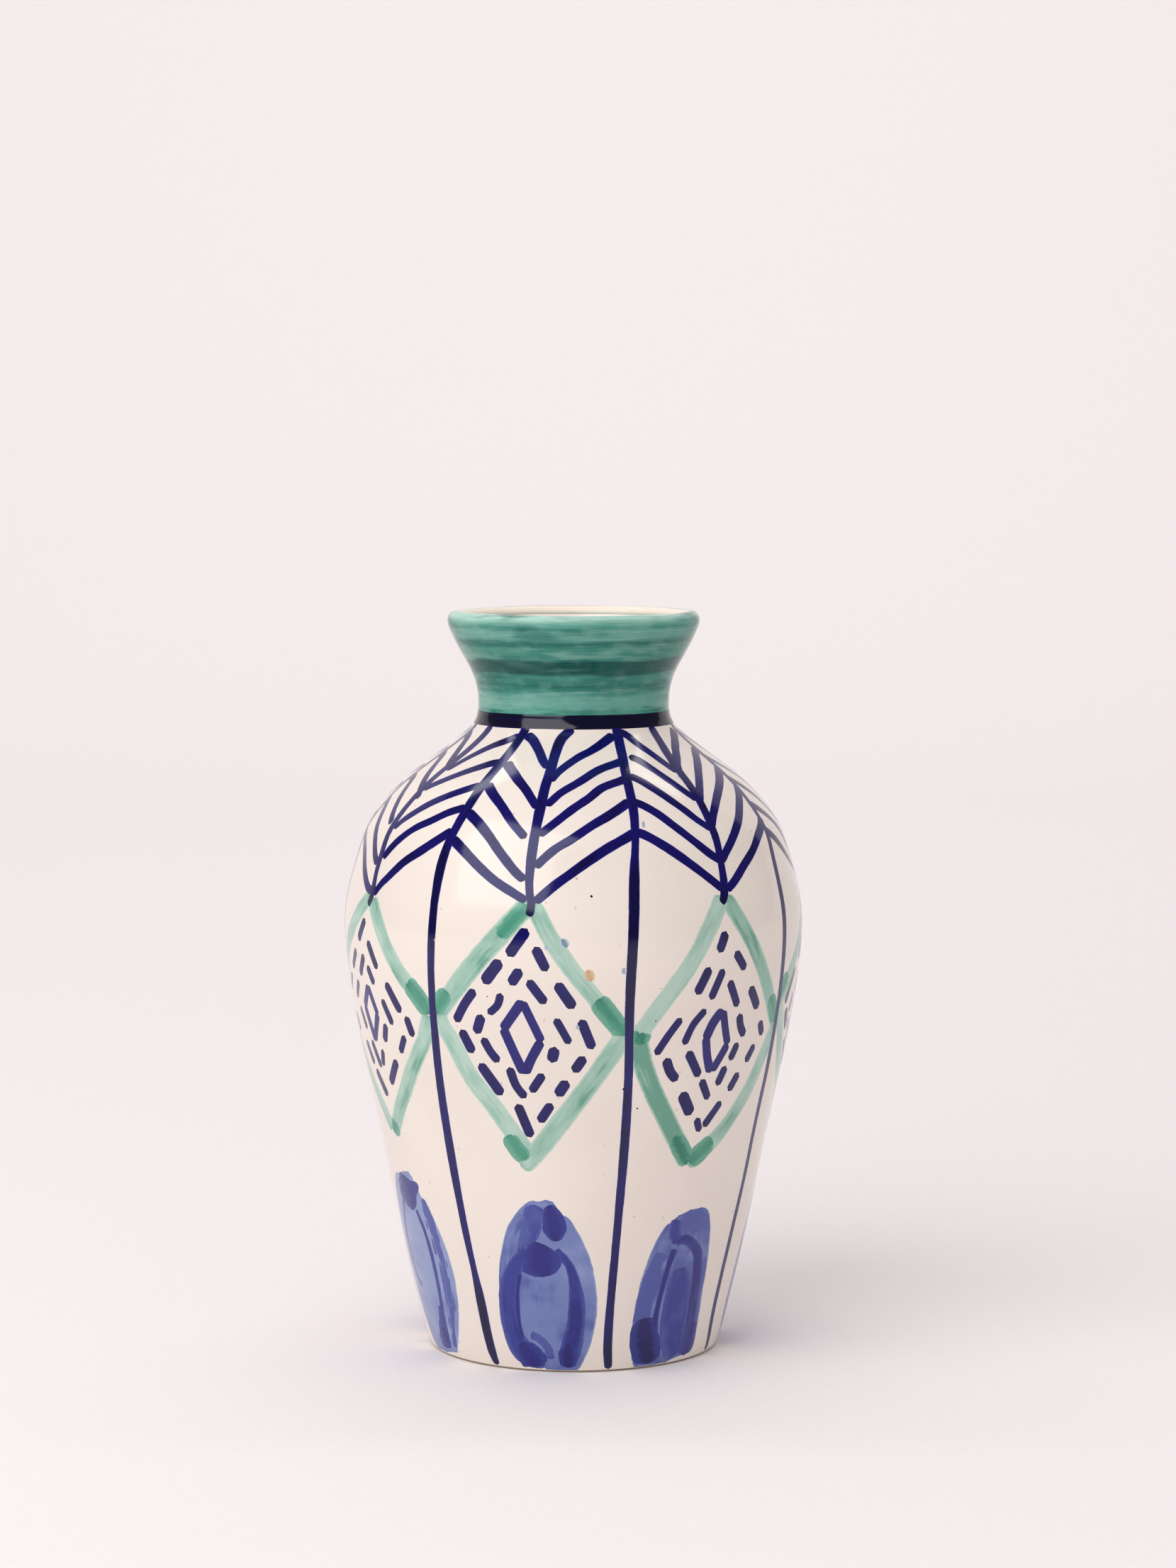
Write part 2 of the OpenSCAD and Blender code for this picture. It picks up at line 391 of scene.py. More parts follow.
# %% The brushed finish
def brushed(name, thick, body, thin, ground, dryness=0.5, edge=0.14, streaks=0.6, fade=0.7):
    """Brushed colour: thick where it pools, thin where it runs dry, and ground at its edge."""
    glaze = Glaze(name, roughness=0.08)
    along, across, to_end = glaze.brush()
    number, load = glaze.load()
    offset = number * 7.31
    side = glaze.size(across)
    bristle = glaze.noise(glaze.vector(along * 0.10, across * 3.4, offset), 1.0, 3.0, 0.6)
    flow = glaze.noise(glaze.vector(along * 0.09, across * 0.6, offset + 40.0), 1.0, 2.0)
    fret = glaze.noise(glaze.vector(along * 1.1, across * 1.4, offset + 9.0), 1.0, 2.0)
    dry = flow * 0.9 + (bristle - 0.5) * streaks - load * 0.55
    colour = glaze.mix(body, thin, glaze.step(dry, 1.05 - dryness, 1.35 - dryness))
    colour = glaze.mix(colour, thick, glaze.step(dry, 0.62 - dryness * 0.35, 0.2))
    pool = glaze.step(to_end + (fret - 0.5) * 1.2, 1.8, 0.3)
    colour = glaze.mix(colour, thick, pool * 0.45)
    rim = side + (fret - 0.5) * edge
    fringe = glaze.step(rim, 1.0 - 1.6 * edge, 1.0 - 0.5 * edge)
    outermost = glaze.step(rim, 1.0 - 0.55 * edge, 1.0 + 0.3 * edge)
    colour = glaze.mix(colour, thin, fringe * fade)
    colour = glaze.mix(colour, ground, outermost * fade)
    glaze.paint("Base Color", colour)
    glaze.paint("Roughness", 0.08 + bristle * 0.05)
    return glaze.material


COBALT_DEEP = tint(8, 4, 56)
COBALT_DARK = tint(15, 9, 92)
COBALT_MID = tint(27, 24, 108)
COBALT_FRINGE = tint(62, 58, 156)
BLUE_PALE = tint(136, 150, 192)
BLUE_WASH = tint(110, 124, 177)
BLUE_FULL = tint(76, 86, 156)
BLUE_BODY = tint(48, 56, 140)
BLUE_DARK = tint(34, 34, 120)
BLUE_DEEP = tint(22, 17, 88)
GROUND = tint(233, 223, 214)

COBALT = (COBALT_DEEP, COBALT_DARK, COBALT_FRINGE, GROUND)

cobalt_stem = brushed("cobalt_stem", *COBALT, 0.30)
cobalt_rib = brushed("cobalt_rib", *COBALT, 0.42)
cobalt_dash = brushed("cobalt_dash", *COBALT, 0.34, fade=0.5)
cobalt_heart = brushed("cobalt_heart", COBALT_DARK, COBALT_MID, COBALT_FRINGE, GROUND, 0.30,
                       fade=0.6)
green_stroke = brushed("green_stroke", tint(104, 156, 137), tint(146, 185, 169),
                       tint(176, 203, 190), GROUND, 0.70, 0.20, streaks=0.5, fade=0.8)
green_pool = brushed("green_pool", tint(40, 120, 98), tint(74, 146, 123), tint(106, 166, 146),
                     tint(136, 180, 162), 0.4, 0.5, streaks=0.4, fade=0.8)
petal_wash = brushed("petal_wash", BLUE_FULL, BLUE_WASH, BLUE_PALE, GROUND, 0.62, 0.045,
                     streaks=0.3, fade=0.6)
petal_stroke = brushed("petal_stroke", BLUE_DARK, BLUE_BODY, BLUE_FULL, BLUE_WASH, 0.46, 0.34,
                       streaks=0.25, fade=0.55)
petal_pool = brushed("petal_pool", BLUE_DEEP, BLUE_DARK, BLUE_BODY, BLUE_BODY, 0.4, 0.46,
                     streaks=0.25, fade=0.75)
band_blue = Glaze("cobalt_band", roughness=0.07)
bx, by, bz = band_blue.xyz(band_blue.place())
band_streak = band_blue.noise(band_blue.vector(bx * 30.0, by * 30.0, bz * 1400.0), 1.0, 3.0)
band_blue.paint("Base Color", band_blue.mix(tint(6, 4, 34), tint(14, 12, 76),
                                            band_blue.step(band_streak, 0.5, 0.8) * 0.6))
band_blue.paint("Roughness", 0.06 + band_streak * 0.08)
band_blue.bump(band_streak, 0.00006, 0.5)
print("made", len(bpy.data.materials), "finishes so far")

# %% [markdown]
# ## The turned shape
# A vase thrown on a wheel is one outline carried round an axis. The outline here is a smooth
# curve through fifteen heights and radii, the same ones that the fixed frame is built on. The
# curve is checked against the frame's own glaze coat, so a slip would show as a number.

# %% The outline
foot_r, belly_r, neck_r, mouth_r = 40.5, 62.0, 25.7, 34.0
WALL_T, GLAZE_T, FLOOR_T = 4.6, 0.4, 7.0
LIP_R = WALL_T / 2
LIP_START = height - LIP_R - 0.03
BARE = 0.6
BAND_LOW, BAND_HIGH = 169.7, 173.4


def blend(a, b, t):
    return a + (b - a) * t


WALL = [(0.0, foot_r - 1.6), (0.020, foot_r - 0.1), (0.150, blend(foot_r, belly_r, 0.285)),
        (0.300, blend(foot_r, belly_r, 0.572)), (0.450, blend(foot_r, belly_r, 0.860)),
        (0.580, belly_r), (0.700, blend(neck_r, belly_r, 0.855)),
        (0.735, blend(neck_r, belly_r, 0.740)), (0.775, blend(neck_r, belly_r, 0.535)),
        (0.825, blend(neck_r, belly_r, 0.176)), (0.850, blend(neck_r, belly_r, 0.025)),
        (0.880, neck_r), (0.915, blend(neck_r, mouth_r, 0.170)),
        (0.955, blend(neck_r, mouth_r, 0.690)), (1.0 - LIP_R / height, mouth_r)]
WALL = [(part * height, radius) for part, radius in WALL]
print("outline points:", len(WALL), " from", WALL[0], "to", WALL[-1])

# %% [markdown]
# The curve runs through the points by their slopes, and it stands upright at the belly, at the
# neck and at the mouth. A short average takes the last unevenness out, because a glossy wall
# shows every change of slope.

# %% The curve through the outline
UPRIGHT = (belly_r, neck_r, mouth_r)
SMOOTHING, PROBE = 3.0, 0.1


def wall_slope(i):
    if WALL[i][1] in UPRIGHT:
        return 0.0
    low, high = WALL[max(i - 1, 0)], WALL[i + 1]
    return (high[1] - low[1]) / (high[0] - low[0])


def curve_r(z):
    """Radius of the outer wall at height z, in mm."""
    i = max([k for k in range(len(WALL) - 1) if WALL[k][0] <= z] or [0])
    (z0, r0), (z1, r1) = WALL[i], WALL[i + 1]
    h = z1 - z0
    t = (z - z0) / h
    return ((2 * t**3 - 3 * t**2 + 1) * r0 + (t**3 - 2 * t**2 + t) * h * wall_slope(i)
            + (3 * t**2 - 2 * t**3) * r1 + (t**3 - t**2) * h * wall_slope(i + 1))


def wall_r(z):
    """The same radius, averaged over a few millimetres so that reflections run smoothly."""
    reach = max(min(SMOOTHING, z, height - LIP_R - z), 0.0)
    near = [curve_r(z + reach * k / 4) for k in range(-4, 5)]
    weights = [1, 3, 6, 9, 10, 9, 6, 3, 1]
    return sum(r * w for r, w in zip(near, weights)) / sum(weights)


def wall_point(z, depth):
    """Point of the wall at height z, moved by depth into the clay."""
    above, below = min(z + PROBE, height - LIP_R), max(z - PROBE, 0.0)
    slope = (wall_r(above) - wall_r(below)) / (2 * PROBE)
    n = math.sqrt(1 + slope * slope)
    return (wall_r(z) - depth / n, z + depth * slope / n)


glaze_node = frame["nodes"]["outer_glaze"].data
gap = [abs(math.hypot(v.co.x, v.co.y) / MM - wall_r(v.co.z / MM)) for v in glaze_node.vertices
       if math.hypot(v.co.x, v.co.y) / MM > wall_r(v.co.z / MM) - 0.2]
print("furthest from the frame's glaze coat, mm:", round(max(gap), 3))

# %% Lines of the wall, the lip and the inside
def levels(low, high, spacing=1.8):
    """Heights from low to high, about one spacing apart."""
    count = max(1, round((high - low) / spacing))
    return [low + (high - low) * k / count for k in range(count + 1)]


def wall_line(heights, depth):
    return [wall_point(z, depth) for z in heights]


def lip_line(depth):
    """Half a circle over the lip, from the outside to the inside."""
    r = LIP_R - depth
    angles = [math.radians(a) for a in range(0, 181, 10)]
    return [(mouth_r - LIP_R + r * math.cos(a), height - LIP_R + r * math.sin(a)) for a in angles]


def inside_line(depth):
    """The inner face, from the lip down to the middle of the floor."""
    corner = 9.0
    rise = depth - (WALL_T - GLAZE_T)
    heights = levels(FLOOR_T + corner + 4, LIP_START)
    low = wall_point(FLOOR_T + corner + 2, depth)
    r = corner - rise
    angles = [math.radians(a) for a in range(0, -91, -9)]
    round_part = [(low[0] - r + r * math.cos(a), FLOOR_T + corner + r * math.sin(a)) for a in angles]
    floor = [((low[0] - r) * k / 10, FLOOR_T + rise) for k in range(9, -1, -1)]
    return wall_line(heights, depth)[::-1] + round_part + floor


print("lip points:", len(lip_line(0)), " inside points:", len(inside_line(WALL_T)))

# %% [markdown]
# ### A lathe from Geometry Nodes
# A Spin modifier could turn the outline, but a thrown pot is never a perfect turning. This tree
# starts from a flat grid. One side of the grid becomes the turn round the axis, the other side
# steps through the outline's points, and Set Position puts each point in its place. On the way
# it adds what the potter's fingers leave: shallow ripples, a body that is a hair out of round,
# and a rim and a painted edge that aren't quite level. Merge by Distance closes the seam and
# the middle of the floor.

# %% Plans and their inputs
class Plan(Board):
    """A Geometry Nodes tree with named inputs."""

    def __init__(self, name, inputs):
        group = bpy.data.node_groups.new(name, "GeometryNodeTree")
        super().__init__(group)
        group.interface.new_socket("Geometry", in_out="INPUT", socket_type="NodeSocketGeometry")
        self.ids = {}
        for label, kind in inputs:
            made = group.interface.new_socket(label, in_out="INPUT",
                                              socket_type="NodeSocket" + kind)
            self.ids[label] = made.identifier
        group.interface.new_socket("Geometry", in_out="OUTPUT", socket_type="NodeSocketGeometry")
        self.group = group
        self.start = group.nodes.new("NodeGroupInput")

    def given(self, label):
        return Wire(self, self.start.outputs[label])

    def finish(self, geometry):
        geometry = self.add("GeometryNodeSetShadeSmooth", {}, {"Geometry": geometry})
        geometry = self.add("GeometryNodeRealizeInstances", {}, {"Geometry": geometry})
        geometry = self.add("GeometryNodeSetMaterial", {}, {"Geometry": geometry,
                                                            "Material": self.given("Finish")})
        end = self.group.nodes.new("NodeGroupOutput")
        self.feed(end.inputs["Geometry"], geometry)


print("a plan starts with its inputs and ends in its material")

# %% The lathe
TURN = 2 * math.pi
RIM_SWAY = 0.0009
SEAM_GAP = 0.000002
lathe = Plan("thrown on the wheel", [
    ("Outline", "Object"), ("Outline points", "Int"), ("Segments", "Int"), ("Ripple", "Float"),
    ("Out of round", "Float"), ("Edge wander", "Float"), ("Seed", "Float"),
    ("Finish", "Material")])
points = lathe.given("Outline points")
grid = lathe.add("GeometryNodeMeshGrid", {}, {
    "Size X": 1.0, "Size Y": 1.0, "Vertices X": lathe.given("Segments") + 1,
    "Vertices Y": points})
grid_x, grid_y, _ = lathe.xyz(lathe.add("GeometryNodeInputPosition"))
turn = (grid_x + 0.5) * TURN
row = (grid_y + 0.5) * (points - 1)
row = lathe.add("ShaderNodeMath", {"operation": "ROUND"}, {0: row})
outline = lathe.add("GeometryNodeObjectInfo", {"transform_space": "ORIGINAL"},
                    {"Object": lathe.given("Outline")}, out="Geometry")
spot = lathe.add("GeometryNodeSampleIndex", {"data_type": "FLOAT_VECTOR", "domain": "POINT"}, {
    "Geometry": outline, "Value": lathe.add("GeometryNodeInputPosition"), "Index": row})
radius, _, rise = lathe.xyz(spot)
cosine = lathe.add("ShaderNodeMath", {"operation": "COSINE"}, {0: turn})
sine = lathe.add("ShaderNodeMath", {"operation": "SINE"}, {0: turn})
twice = lathe.add("ShaderNodeMath", {"operation": "COSINE"}, {0: turn * 2.0 + 0.7})
seed = lathe.given("Seed")
ripple = lathe.noise(lathe.vector(cosine * 0.25, sine * 0.25, rise * 110.0), 1.0, 1.0) - 0.5
broad = lathe.noise(lathe.vector(cosine * 0.8, sine * 0.8, rise * 14.0 + 3.0), 1.0, 1.0) - 0.5
hold = lathe.step(radius, 0.002, 0.022)
push = (ripple * 2.0 + broad * 2.5) * lathe.given("Ripple")
push = (push + twice * lathe.given("Out of round")) * hold
edge = lathe.noise(lathe.vector(cosine * 1.3, sine * 1.3, seed), 1.0, 2.0) - 0.5
near_lip = lathe.step(rise, 0.180, 0.200)
rim = lathe.noise(lathe.vector(cosine * 0.7, sine * 0.7, 8.0), 1.0, 1.0) - 0.5
new_r = radius + push
new_z = rise + edge * 2.0 * lathe.given("Edge wander") + rim * near_lip * RIM_SWAY
turned = lathe.add("GeometryNodeSetPosition", {}, {
    "Geometry": grid, "Position": lathe.vector(new_r * cosine, new_r * sine, new_z)})
lathe.finish(lathe.add("GeometryNodeMergeByDistance", {},
                       {"Geometry": turned, "Distance": SEAM_GAP}))
print("lathe inputs:", list(lathe.ids))

# %% [markdown]
# ### From a tree to a plain mesh
# A modifier is a recipe. A finished piece has to be the result, so this helper evaluates the
# recipe, keeps the mesh, and throws the recipe away. It also measures the closed volume: a
# negative number would mean that the shape is inside out, and the faces are turned round. Then
# the piece rides on the vase's one body, and the solids that it stands in for are hidden.

# %% Finishing a piece
def run_plan(plan, host, values):
    """The plain mesh that a tree makes of its host object."""
    modifier = host.modifiers.new("plan", "NODES")
    modifier.node_group = plan.group
    for label, value in values.items():
        modifier[plan.ids[label]] = value
    bpy.context.view_layer.update()
    evaluated = host.evaluated_get(bpy.context.evaluated_depsgraph_get())
    return bpy.data.meshes.new_from_object(evaluated)


def volume(mesh):
    """Closed volume, from the tetrahedra between its triangles and the origin."""
    total = 0.0
    for face in mesh.polygons:
        corners = [mesh.vertices[i].co for i in face.vertices]
        for k in range(1, len(corners) - 1):
            total += corners[0].dot(corners[k].cross(corners[k + 1])) / 6
    return total


def finish_piece(name, mesh, stands_for=()):
    """Faces outwards, on the body, in place of its solids."""
    mesh.name = name
    if volume(mesh) < 0:
        mesh.flip_normals()
    piece = add_object(name, mesh)
    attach(piece, "root")
    if stands_for:
        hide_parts(*stands_for)
    print(name + ":", sum(len(f.vertices) - 2 for f in mesh.polygons), "triangles,",
          round(volume(mesh) * 1e9, 1), "cubic mm")
    return piece


SEGMENTS = 192
RIPPLE = 0.05
OUT_OF_ROUND = 0.12


def throw(name, outline_mm, finish, stands_for, wander=0.0, seed=1.0):
    """Turns an outline, given as (radius, height) in mm, into a finished piece."""
    line = bpy.data.meshes.new(name + "_outline")
    line.from_pydata([(r * MM, 0, z * MM) for r, z in outline_mm], [], [])
    marks = add_object(name + "_outline", line)
    host = add_object(name + "_host", bpy.data.meshes.new(name + "_host"))
    mesh = run_plan(lathe, host, {
        "Outline": marks, "Outline points": len(outline_mm), "Segments": SEGMENTS,
        "Ripple": RIPPLE * MM, "Out of round": OUT_OF_ROUND * MM, "Edge wander": wander * MM,
        "Seed": seed, "Finish": finish})
    mesh.set_sharp_from_angle(angle=math.radians(42))
    bpy.data.objects.remove(host)
    bpy.data.objects.remove(marks)
    return finish_piece(name, mesh, stands_for)


# %% [markdown]
# ### Clay, cream coat, liner, green collar and cobalt band
# The pieces nest like the real layers. The clay shell is bare only at the foot. The cream coat
# is a closed skin 0.4 mm thick that stops just above the foot and under the band. The liner
# coats the inside, the green collar takes the neck and goes over the lip, and the cobalt band
# is a ring of colour brushed over the join.

# %% Throwing the five layers
JOIN = 171.6
outside = levels(0.35, LIP_START)
body_levels = levels(BARE, 156.0) + levels(156.0, JOIN, 0.6)[1:]
neck_levels = levels(JOIN, LIP_START, 0.8)
foot_line = [(0, 2.5), (12, 2.5), (24, 2.5), (30.8, 2.5), (31.6, 2.3), (33.2, 0.35), (33.8, 0.0),
             (36.0, 0.0), (wall_r(0) - 0.9, 0.0), (wall_r(0) - 0.45, 0.12)]
throw("thrown_clay", foot_line + wall_line(outside, GLAZE_T) + lip_line(GLAZE_T)
      + inside_line(WALL_T - GLAZE_T), clay.material, ["clay_body"])
cream_line = wall_line(body_levels, 0) + wall_line(body_levels, GLAZE_T)[::-1]
cream_coat = throw("cream_glaze_coat", cream_line + cream_line[:1], cream_glaze,
                   ["outer_glaze"])
liner_line = inside_line(WALL_T)
liner_back = inside_line(WALL_T - GLAZE_T)
throw("cream_liner", liner_back[::-1] + liner_line, liner_glaze, ["inner_glaze"])
collar = (wall_line(neck_levels, 0) + lip_line(0) + lip_line(GLAZE_T)[::-1]
          + wall_line(neck_levels, GLAZE_T)[::-1])
throw("green_neck_collar", collar + collar[:1], green.material, ["neck_glaze"])
BAND_LIFT, BAND_EDGE = 0.07, 0.3
band_levels = levels(BAND_LOW, BAND_HIGH, BAND_EDGE)
band_top = []
for z in band_levels:
    from_edge = min((z - BAND_LOW + 0.02) / BAND_EDGE, (BAND_HIGH + 0.02 - z) / BAND_EDGE)
    band_top.append(wall_point(z, -BAND_LIFT * min(1.0, from_edge)))
band_line = band_top + wall_line(band_levels, 0.08)[::-1]
throw("cobalt_neck_band", band_line + band_line[:1], band_blue.material,
      ["neck_band"], wander=0.22, seed=5.0)

# %% [markdown]
# ## Brush strokes
# Each stroke is drawn as a line of points on an imaginary cylinder round the vase, each point
# with its angle, its height, half the width of the brush there, and how much colour it held.
# Geometry Nodes then do what a wet brush does: they lay the line down onto the glaze, widen it
# across its path, round its ends off, let its edge wander a little, and give it the thickness
# of a film of colour.

# %% The brush stroke plan
brush = Plan("brush stroke on the glaze", [
    ("Glaze", "Object"), ("Step", "Float"), ("Profile points", "Int"), ("Film", "Float"),
    ("End roundness", "Float"), ("Edge wander", "Float"), ("Width wander", "Float"),
    ("Seed", "Float"), ("Finish", "Material")])
VECTOR = "FLOAT_VECTOR"
MARGIN = 0.1
RAY_START, RAY_LENGTH = 0.030, 0.2


def keep(plan, geometry, name, value):
    """Writes a vector on every point, to be read again further on."""
    return plan.add("GeometryNodeStoreNamedAttribute", {"data_type": VECTOR, "domain": "POINT"},
                    {"Geometry": geometry, "Name": name, "Value": value})


def kept(plan, name):
    return plan.add("GeometryNodeInputNamedAttribute", {"data_type": VECTOR}, {"Name": name})


def onto_glaze(plan, where):
    """Meets the glaze from a place outside it, moving level towards the axis.

    The height is held inside the coat, because a ray that misses it would land on the axis.
    """
    x, y, z = plan.xyz(where)
    z = plan.add("ShaderNodeClamp", {}, {0: z, 1: (BARE + MARGIN) * MM, 2: (JOIN - MARGIN) * MM})
    where = plan.vector(x, y, z)
    surface = plan.add("GeometryNodeObjectInfo", {"transform_space": "ORIGINAL"},
                       {"Object": plan.given("Glaze")}, out="Geometry")
    inward = plan.arrow("NORMALIZE", plan.vector(x * -1.0, y * -1.0, 0.0))
    start = plan.arrow("SUBTRACT", where, plan.times(inward, RAY_START))
    return plan.add("GeometryNodeRaycast", {"data_type": VECTOR, "mapping": "INTERPOLATED"}, {
        "Target Geometry": surface, "Attribute": kept(plan, "wall_normal"),
        "Source Position": start, "Ray Direction": inward, "Ray Length": RAY_LENGTH},
        out="Hit Position")


def math_node(plan, operation, first, second):
    """A Math node that Python has no sign for, such as the smaller of two values."""
    return plan.add("ShaderNodeMath", {"operation": operation}, {0: first, 1: second})


def plus_minus(plan, vector, detail, amount):
    """Noise between minus the amount and plus the amount."""
    return (plan.noise(vector, 1.0, detail) - 0.5) * 2.0 * amount


print("brush inputs:", list(brush.ids))

# %% [markdown]
# ### The middle line of a stroke
# The drawn points become a smooth Catmull-Rom curve, cut into equal steps. It is laid onto the
# glaze and cut into steps again, because a line on the wall is shorter than the one drawn
# outside it. From then on each point knows how far along its stroke it is, how near to an end,
# and which stroke it belongs to, and three slow noises make the hand's small unevenness.

# %% Laying the line down
def spaced_points(line):
    return brush.add("GeometryNodeResampleCurve", {"mode": "LENGTH"},
                     {"Curve": line, "Length": brush.given("Step")})


line = brush.add("GeometryNodeCurveSplineType", {"spline_type": "CATMULL_ROM"},
                 {"Curve": brush.given("Geometry")})
line = brush.add("GeometryNodeSetSplineResolution", {}, {"Geometry": line, "Resolution": 10})
line = brush.add("GeometryNodeSetPosition", {}, {
    "Geometry": spaced_points(line),
    "Position": onto_glaze(brush, brush.add("GeometryNodeInputPosition"))})
line = spaced_points(line)
where = brush.add("GeometryNodeInputPosition")
normal = onto_glaze(brush, where).at("Attribute")
across_way = brush.arrow("NORMALIZE", brush.arrow("CROSS_PRODUCT", normal,
                                                  brush.add("GeometryNodeInputTangent")))
along = brush.add("GeometryNodeSplineParameter").at("Length")
to_end = math_node(brush, "MINIMUM", along, brush.add("GeometryNodeSplineLength") - along)
number = brush.add("GeometryNodeCurveOfPoint")
fine = brush.vector(along * 420.0, number * 3.7, brush.given("Seed"))
slow = brush.vector(along * 90.0, number * 5.3, brush.given("Seed") + 20.0)
medium = brush.vector(along * 230.0, number * 2.9, brush.given("Seed") + 50.0)
swell = plus_minus(brush, slow, 1.0, brush.given("Width wander"))
fret = plus_minus(brush, fine, 2.0, brush.given("Edge wander"))
sideways = (brush.noise(medium, 1.0, 1.0) - 0.5) * 1.2 * brush.given("Edge wander")
half_width = brush.add("GeometryNodeInputRadius") * MM * (swell + 1.0) + fret
cap = brush.given("End roundness") * half_width + 0.000001
inside = math_node(brush, "MINIMUM", to_end / cap, 1.0)
rounding = brush.add("ShaderNodeMath", {"operation": "SQRT"},
                     {0: 1.0 - (1.0 - inside) * (1.0 - inside)})
line = keep(brush, line, "line_at", brush.arrow("ADD", where, brush.times(across_way, sideways)))
line = keep(brush, line, "line_side", brush.times(across_way, half_width * rounding))
line = keep(brush, line, "measure", brush.vector(along / MM, to_end / MM, rounding))
line = keep(brush, line, "brush", brush.vector(number + brush.given("Seed") * 11.0,
                                               brush.add("GeometryNodeInputCurveTilt"), 0.0))
print("a stroke remembers its middle, its side, its measure and its number")

# %% [markdown]
# ### From the line to a film
# A ring of points is swept along the line, and every point of that tube is sent back to the
# glaze, so that a broad mark bends round the wall. The ring's upper half is then lifted by the
# film's thickness, its edges sink just under the glaze, and its lower half sinks a little more,
# which closes the film without an open edge.

# %% Sweeping the film
LAYERS, LAYER_STEP = 7.0, 0.0000012
EDGE_SINK, BASE_SINK = 0.000008, 0.00002
ring = brush.add("GeometryNodeCurvePrimitiveCircle", {"mode": "RADIUS"},
                 {"Resolution": brush.given("Profile points"), "Radius": 1.0})
ring = keep(brush, ring, "ring_at", brush.add("GeometryNodeInputPosition"))
tube = brush.add("GeometryNodeCurveToMesh", {}, {"Curve": line, "Profile Curve": ring,
                                                 "Fill Caps": False})
across, up, _ = brush.xyz(kept(brush, "ring_at"))
meet = onto_glaze(brush, brush.arrow("ADD", kept(brush, "line_at"),
                                     brush.times(kept(brush, "line_side"), across)))
meet_normal = meet.at("Attribute")
top = math_node(brush, "MAXIMUM", up, 0.0)
run, ends, rounded = brush.xyz(kept(brush, "measure"))
whose, _, _ = brush.xyz(kept(brush, "brush"))
layer = math_node(brush, "FLOORED_MODULO", whose, LAYERS) * LAYER_STEP
film = (brush.given("Film") + layer) * (top ** 0.5) * (rounded ** 0.5)
lift = film - EDGE_SINK * (1.0 - top) - BASE_SINK * (top - up)
tube = keep(brush, tube, "wall_normal", meet_normal)
tube = keep(brush, tube, "stroke", brush.vector(run, across, ends))
tube = brush.add("GeometryNodeSetPosition", {}, {
    "Geometry": tube,
    "Position": brush.arrow("ADD", meet, brush.times(meet_normal, lift))})
for helper in ("line_at", "line_side", "measure", "ring_at"):
    tube = brush.add("GeometryNodeRemoveAttribute", {}, {"Geometry": tube, "Name": helper})
brush.finish(brush.add("GeometryNodeMergeByDistance", {},
                       {"Geometry": tube, "Distance": 0.0000005}))
print("nodes in the stroke plan:", len(brush.tree.nodes))

# %% [markdown]
# The film is about as thin as a hair, and real colour sinks into the glaze until no edge can be
# felt. So the film's shading takes the direction of the glaze under it, and light runs over the
# marks without a step. The cream coat hands its directions on as an attribute for this. Strokes
# that cross differ a little in thickness, in steps of about a micron, so that no two faces fight
# for the same place.

# %% Painting helpers
DRAWN_AT = 0.08
BESIDE = 0.5
wall_normal = cream_coat.data.attributes.new("wall_normal", "FLOAT_VECTOR", "POINT")
directions = []
for vertex in cream_coat.data.vertices:
    x, y, z = vertex.co / MM
    slope = wall_r(z + BESIDE) - wall_r(max(z - BESIDE, 0.0))
    flat = math.hypot(x, y)
    directions.extend(Vector((x / flat, y / flat, -slope)).normalized())
wall_normal.data.foreach_set("vector", directions)


def paint(name, strokes, finish, stands_for=(), film=0.035, step=0.5, ring=12,
          roundness=1.0, wander=0.07, width_wander=0.07, seed=1.0):
    """Strokes are lists of (angle, height, half width, load), in degrees and mm."""
    drawing = bpy.data.curves.new(name + "_drawing", "CURVE")
    drawing.dimensions = "3D"
    for stroke in strokes:
        spline = drawing.splines.new("POLY")
        spline.points.add(len(stroke) - 1)
        for point, (angle, z, half, load) in zip(spline.points, stroke):
            a = math.radians(angle)
            point.co = (DRAWN_AT * math.sin(a), -DRAWN_AT * math.cos(a), z * MM, 1)
            point.radius, point.tilt = half, load
    host = add_object(name + "_drawing", drawing)
    mesh = run_plan(brush, host, {
        "Glaze": cream_coat, "Step": step * MM, "Profile points": ring, "Film": film * MM,
        "End roundness": roundness, "Edge wander": wander * MM, "Width wander": width_wander,
        "Seed": seed, "Finish": finish})
    bpy.data.objects.remove(host)
    piece = finish_piece(name, mesh, stands_for)
    attribute = mesh.attributes["wall_normal"]
    mesh.normals_split_custom_set_from_vertices([item.vector for item in attribute.data])
    mesh.attributes.remove(mesh.attributes["wall_normal"])
    return piece


def fuller(strokes, grow, longer=0.0):
    """The same strokes, wider by a factor and longer by some mm at both ends."""
    out = []
    for stroke in strokes:
        ends = []
        for tip, nearby in ((stroke[0], stroke[1]), (stroke[-1], stroke[-2])):
            across = math.radians(tip[0] - nearby[0]) * wall_r(tip[1])
            rise = tip[1] - nearby[1]
            part = longer / max(math.hypot(across, rise), 0.1)
            moved = (tip[0] + (tip[0] - nearby[0]) * part, tip[1] + rise * part)
            ends.append(moved + tip[2:])
        path = [ends[0]] + list(stroke[1:-1]) + [ends[1]]
        out.append([(a, z, half * grow, load) for a, z, half, load in path])
    return out


print("glaze directions stored:", len(directions) // 3)

